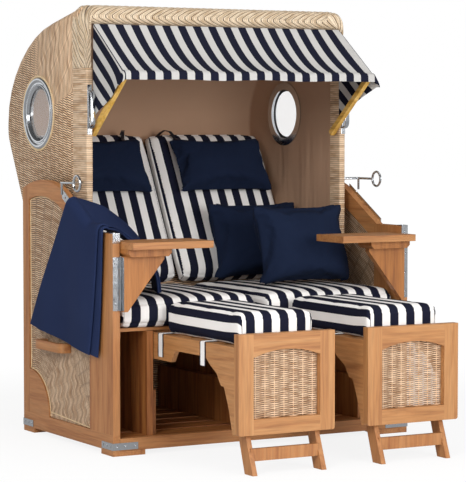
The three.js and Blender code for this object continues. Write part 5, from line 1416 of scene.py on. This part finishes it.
def throw_line(v):
    """The blanket's underside from its outer hem, over the arm, to its inner end."""
    bottom_y = THROW_REAR_BOTTOM[0] + (THROW_FRONT_BOTTOM[0] - THROW_REAR_BOTTOM[0]) * v
    bottom_z = THROW_REAR_BOTTOM[1] + (THROW_FRONT_BOTTOM[1] - THROW_REAR_BOTTOM[1]) * v
    top_y = THROW_REAR_TOP + (THROW_FRONT_TOP - THROW_REAR_TOP) * v
    crest = max(ARM_TOP + ARM_SLOPE * (top_y - SLOPE_START), ARM_TOP) + STRIP_RIDGE
    line = []
    for t in (0, 0.33, 0.66, 1):
        wave = THROW_WAVE * math.sin(math.pi * (3 * v + t)) * (1 - t)
        line.append(Vector((-(STRIP_SKIN + THROW_WAVE + wave), bottom_y + (top_y - bottom_y) * t,
                            bottom_z + (crest - bottom_z) * t)))
    line.append(Vector((-0.606, top_y, crest)))
    for inward, down in THROW_INWARD:
        inner_y = THROW_INNER_FRONT + (top_y - THROW_FRONT_TOP) * THROW_INNER_SHARE
        y = top_y + (inner_y - top_y) * min(inward * 4, 1)
        reach = THROW_REACH * (1 - THROW_TAPER * v)
        line.append(Vector((-(0.592 - reach * inward), y, crest - (crest - SEAT_REST) * down)))
    return [Vector((p.x, p.y + front_plane, p.z)) for p in line]


def eased(line, count):
    """A smooth run of points through a line of points."""
    smooth = []
    for i in range(count):
        place = (len(line) - 1) * i / (count - 1)
        k = min(int(place), len(line) - 2)
        t = place - k
        a, b, c, d = line[max(k - 1, 0)], line[k], line[k + 1], line[min(k + 2, len(line) - 1)]
        curve = 0.5 * ((2 * b) + (c - a) * t + (2 * a - 5 * b + 4 * c - d) * t * t
                       + (3 * b - a - 3 * c + d) * t ** 3)
        smooth.append(curve.lerp(b.lerp(c, t), 0.45))
    return smooth


THROW_LONG, THROW_WIDE, THROW_STEPS = 61, 25, 20
base_grid = [eased(throw_line(j / (THROW_WIDE - 1)), THROW_LONG) for j in range(THROW_WIDE)]
normal_grid = []
for j, line in enumerate(base_grid):
    normals = []
    for i in range(THROW_LONG):
        along = line[min(i + 1, THROW_LONG - 1)] - line[max(i - 1, 0)]
        across = base_grid[min(j + 1, THROW_WIDE - 1)][i] - base_grid[max(j - 1, 0)][i]
        normals.append(across.cross(along).normalized())
    normal_grid.append(normals)
if normal_grid[0][2].x > 0:
    normal_grid = [[-n for n in line] for line in normal_grid]


def blanket_point(i, v, off, beyond=0.0):
    """A point of the blanket at row i and width v, off the underside and past the fold."""
    place = min(max(v, 0.0), 1.0) * (THROW_WIDE - 1)
    k = min(int(place), THROW_WIDE - 2)
    point = base_grid[k][i].lerp(base_grid[k + 1][i], place - k)
    normal = normal_grid[k][i].lerp(normal_grid[k + 1][i], place - k).normalized()
    across = (base_grid[k + 1][i] - base_grid[k][i]).normalized()
    return point + normal * off + across * beyond


folds = []
for ply, (start, end) in enumerate(((0.0, 1.0), (1.0, 0.0), (0.0, THROW_BACK_STEP),
                                    (THROW_BACK_STEP, 0.0))):
    level = (ply + 0.5) * THROW_CLEAR
    for k in range(THROW_STEPS + 1):
        folds.append((start + (end - start) * k / THROW_STEPS, level, 0.0))
    if ply < 3:
        outward = 1 if end > 0.5 else -1
        for share, bulge in ((0.2, 0.7), (0.5, 1.0), (0.8, 0.7)):
            folds.append((end, level + THROW_CLEAR * share, outward * bulge * THROW_CLEAR * 0.6))
throw_rows = []
for i in range(THROW_LONG):
    row = []
    for v, level, beyond in folds:
        ruck = THROW_RUCK * noise.noise(Vector((i * 0.16, v * 6.0, level * 90)))
        row.append(blanket_point(i, v, level + ruck, beyond))
    throw_rows.append(row)
throw = from_rows("throw_blanket", throw_rows)
thickened(throw, THROW_PLY, 0.0, 60)
felt = plain_cloth("navy wool felt", "#1c2747", "#263253", (420.0, 3.0), (5.0, 2.0), (0.88, 0.98),
                   (5.0, 1.0, 0.6), (0.4, 0.015), (0.3, 0.0008))
dressed(throw, felt, "base", "folded_throw")


# Footrests: an arched front frame of the oiled wood with a panel of half-round strands woven
# over seven stakes, long side boards and slats, and a pair of folding legs.
ROW_PITCH, PANEL_STAKES, STRAND_SEGMENTS = 0.00365, 7, 28
STAKE_RADIUS, ARCH_RISE = 0.0024, 0.024
PANEL_SWING, PANEL_STRAND = 0.0024, 0.0017
FOOT_BOARD, FOOT_STILE = 0.0305, 0.058

panel_straw, shader, node = new_material("woven resin strand, footrest panels")
panel_flat = node("UVMap", uv_map="weave")
panel_tone_spot = node("VectorMath", (panel_flat, (22.0, 3.7, 1.0)), "MULTIPLY")
panel_tone = node("TexNoise", {"Vector": panel_tone_spot, "Scale": 1.0, "Detail": 2.0})
panel_toned = node("MapRange", (panel_tone, 0.32, 0.62))
panel_tan = node("Mix", {0: panel_toned, 6: linear("#b58c68"), 7: linear("#e3c19f")}, **AS_COLOUR)
panel_low, panel_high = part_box("footrest_wicker_left")
panel_deep = (panel_low.y + panel_high.y) / 2
# Painted shade: the strand is painted darker, toward a dark brown, the further back it lies in the
# weave.
panel_depth = node("SeparateXYZ", (node("TexCoord", out=3),), out=1)
panel_lit = node("MapRange", (panel_depth, panel_deep + 0.0012, panel_deep - 0.0022))
panel_colour = node("Mix", {0: panel_lit, 6: linear("#3d281b"), 7: panel_tan}, **AS_COLOUR)
feed(shader, "Base Color", panel_colour)
feed(shader, "Roughness", node("MapRange", (panel_tone, 0, 1, 0.7, 0.5)))

for side_name, _ in SIDES:
    low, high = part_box(f"footrest_frame_{side_name}")
    board = ("Y", low.y - 0.001, low.y + FOOT_BOARD)
    finish_node(f"footrest_frame_{side_name}", grained(f"oiled hardwood, footrest {side_name}", "Y", [
        ("X", [board]),
        ("Z", [board, ("X", low.x - 0.001, low.x + FOOT_STILE)]),
        ("Z", [board, ("X", high.x - FOOT_STILE, high.x + 0.001)]),
    ], light="#bd8a58", mid="#b27b49", deep="#9d673b"))
    finish_node(f"footrest_legs_{side_name}", grained(f"oiled hardwood, legs {side_name}", "Z"))
    panel_low, panel_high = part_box(f"footrest_wicker_{side_name}")
    middle_y = (panel_low.y + panel_high.y) / 2
    spring = panel_high.z - ARCH_RISE
    wide = panel_high.x - panel_low.x
    stake_pitch = wide / PANEL_STAKES
    points, faces, places = [], [], []
    for row in range(int((panel_high.z - panel_low.z) / ROW_PITCH)):
        z = panel_low.z + ROW_PITCH * (row + 0.5)
        start, end = 0.0, 1.0
        if z > spring:
            share = min((z - spring) / (4 * ARCH_RISE), 0.2499)
            start = 0.5 - math.sqrt(0.25 - share)
            end = 1 - start
        for k in range(STRAND_SEGMENTS + 1):
            share = start + (end - start) * k / STRAND_SEGMENTS
            x = panel_low.x + wide * share
            over = math.cos(math.pi * (wide * share / stake_pitch - 0.5 + row))
            centre = middle_y - PANEL_SWING * over
            tall = ROW_PITCH * (0.4 + 0.24 * max(over, 0.0))
            for back, up in ((1, -0.7), (-0.4, -1), (-1, 0), (-0.4, 1), (1, 0.7)):
                points.append((x, centre + PANEL_STRAND * back, z + tall * up))
                places.append((x, row))
            if k:
                a = len(points) - 10
                faces += [(a + m, a + m + 1, a + m + 6, a + m + 5) for m in range(4)]
    mesh = bpy.data.meshes.new(f"footrest_weave_{side_name}")
    mesh.from_pydata(points, [], faces)
    panel = placed(f"footrest_weave_{side_name}", mesh)
    numbered_uv(panel, "weave", places)
    smoothed(turned_out(panel), 70)
    dressed(panel, panel_straw, f"footrest_{side_name}", f"footrest_wicker_{side_name}")
    stakes = []
    for k in range(PANEL_STAKES):
        share = (k + 0.5) / PANEL_STAKES
        top = spring + 4 * ARCH_RISE * share * (1 - share)
        bpy.ops.object.select_all(action="DESELECT")
        bpy.ops.mesh.primitive_cylinder_add(
            vertices=8, radius=STAKE_RADIUS, depth=top - panel_low.z - 0.001,
            location=(panel_low.x + wide * share, middle_y, (top + panel_low.z) / 2))
        stakes.append(settled(bpy.context.object))
    rods = joined(stakes, f"footrest_stakes_{side_name}")
    lay_uv(rods, "weave", lambda p, n: (p.z, p.x * 27.0))
    dressed(rods, panel_straw, f"footrest_{side_name}")


# Side tables: a planed board on a curved bracket that swings on a piano hinge.
for side_name, _ in SIDES:
    finish_node(f"table_bracket_{side_name}", grained(
        f"oiled hardwood, bracket {side_name}", "Z", light="#b5773d", mid="#a66932", deep="#8c5427"))
    finish_node(f"table_top_{side_name}", grained(
        f"oiled hardwood, table {side_name}", "X", light="#b9824f", mid="#ad7543", deep="#986037"))


bpy.data.objects.remove(screw)
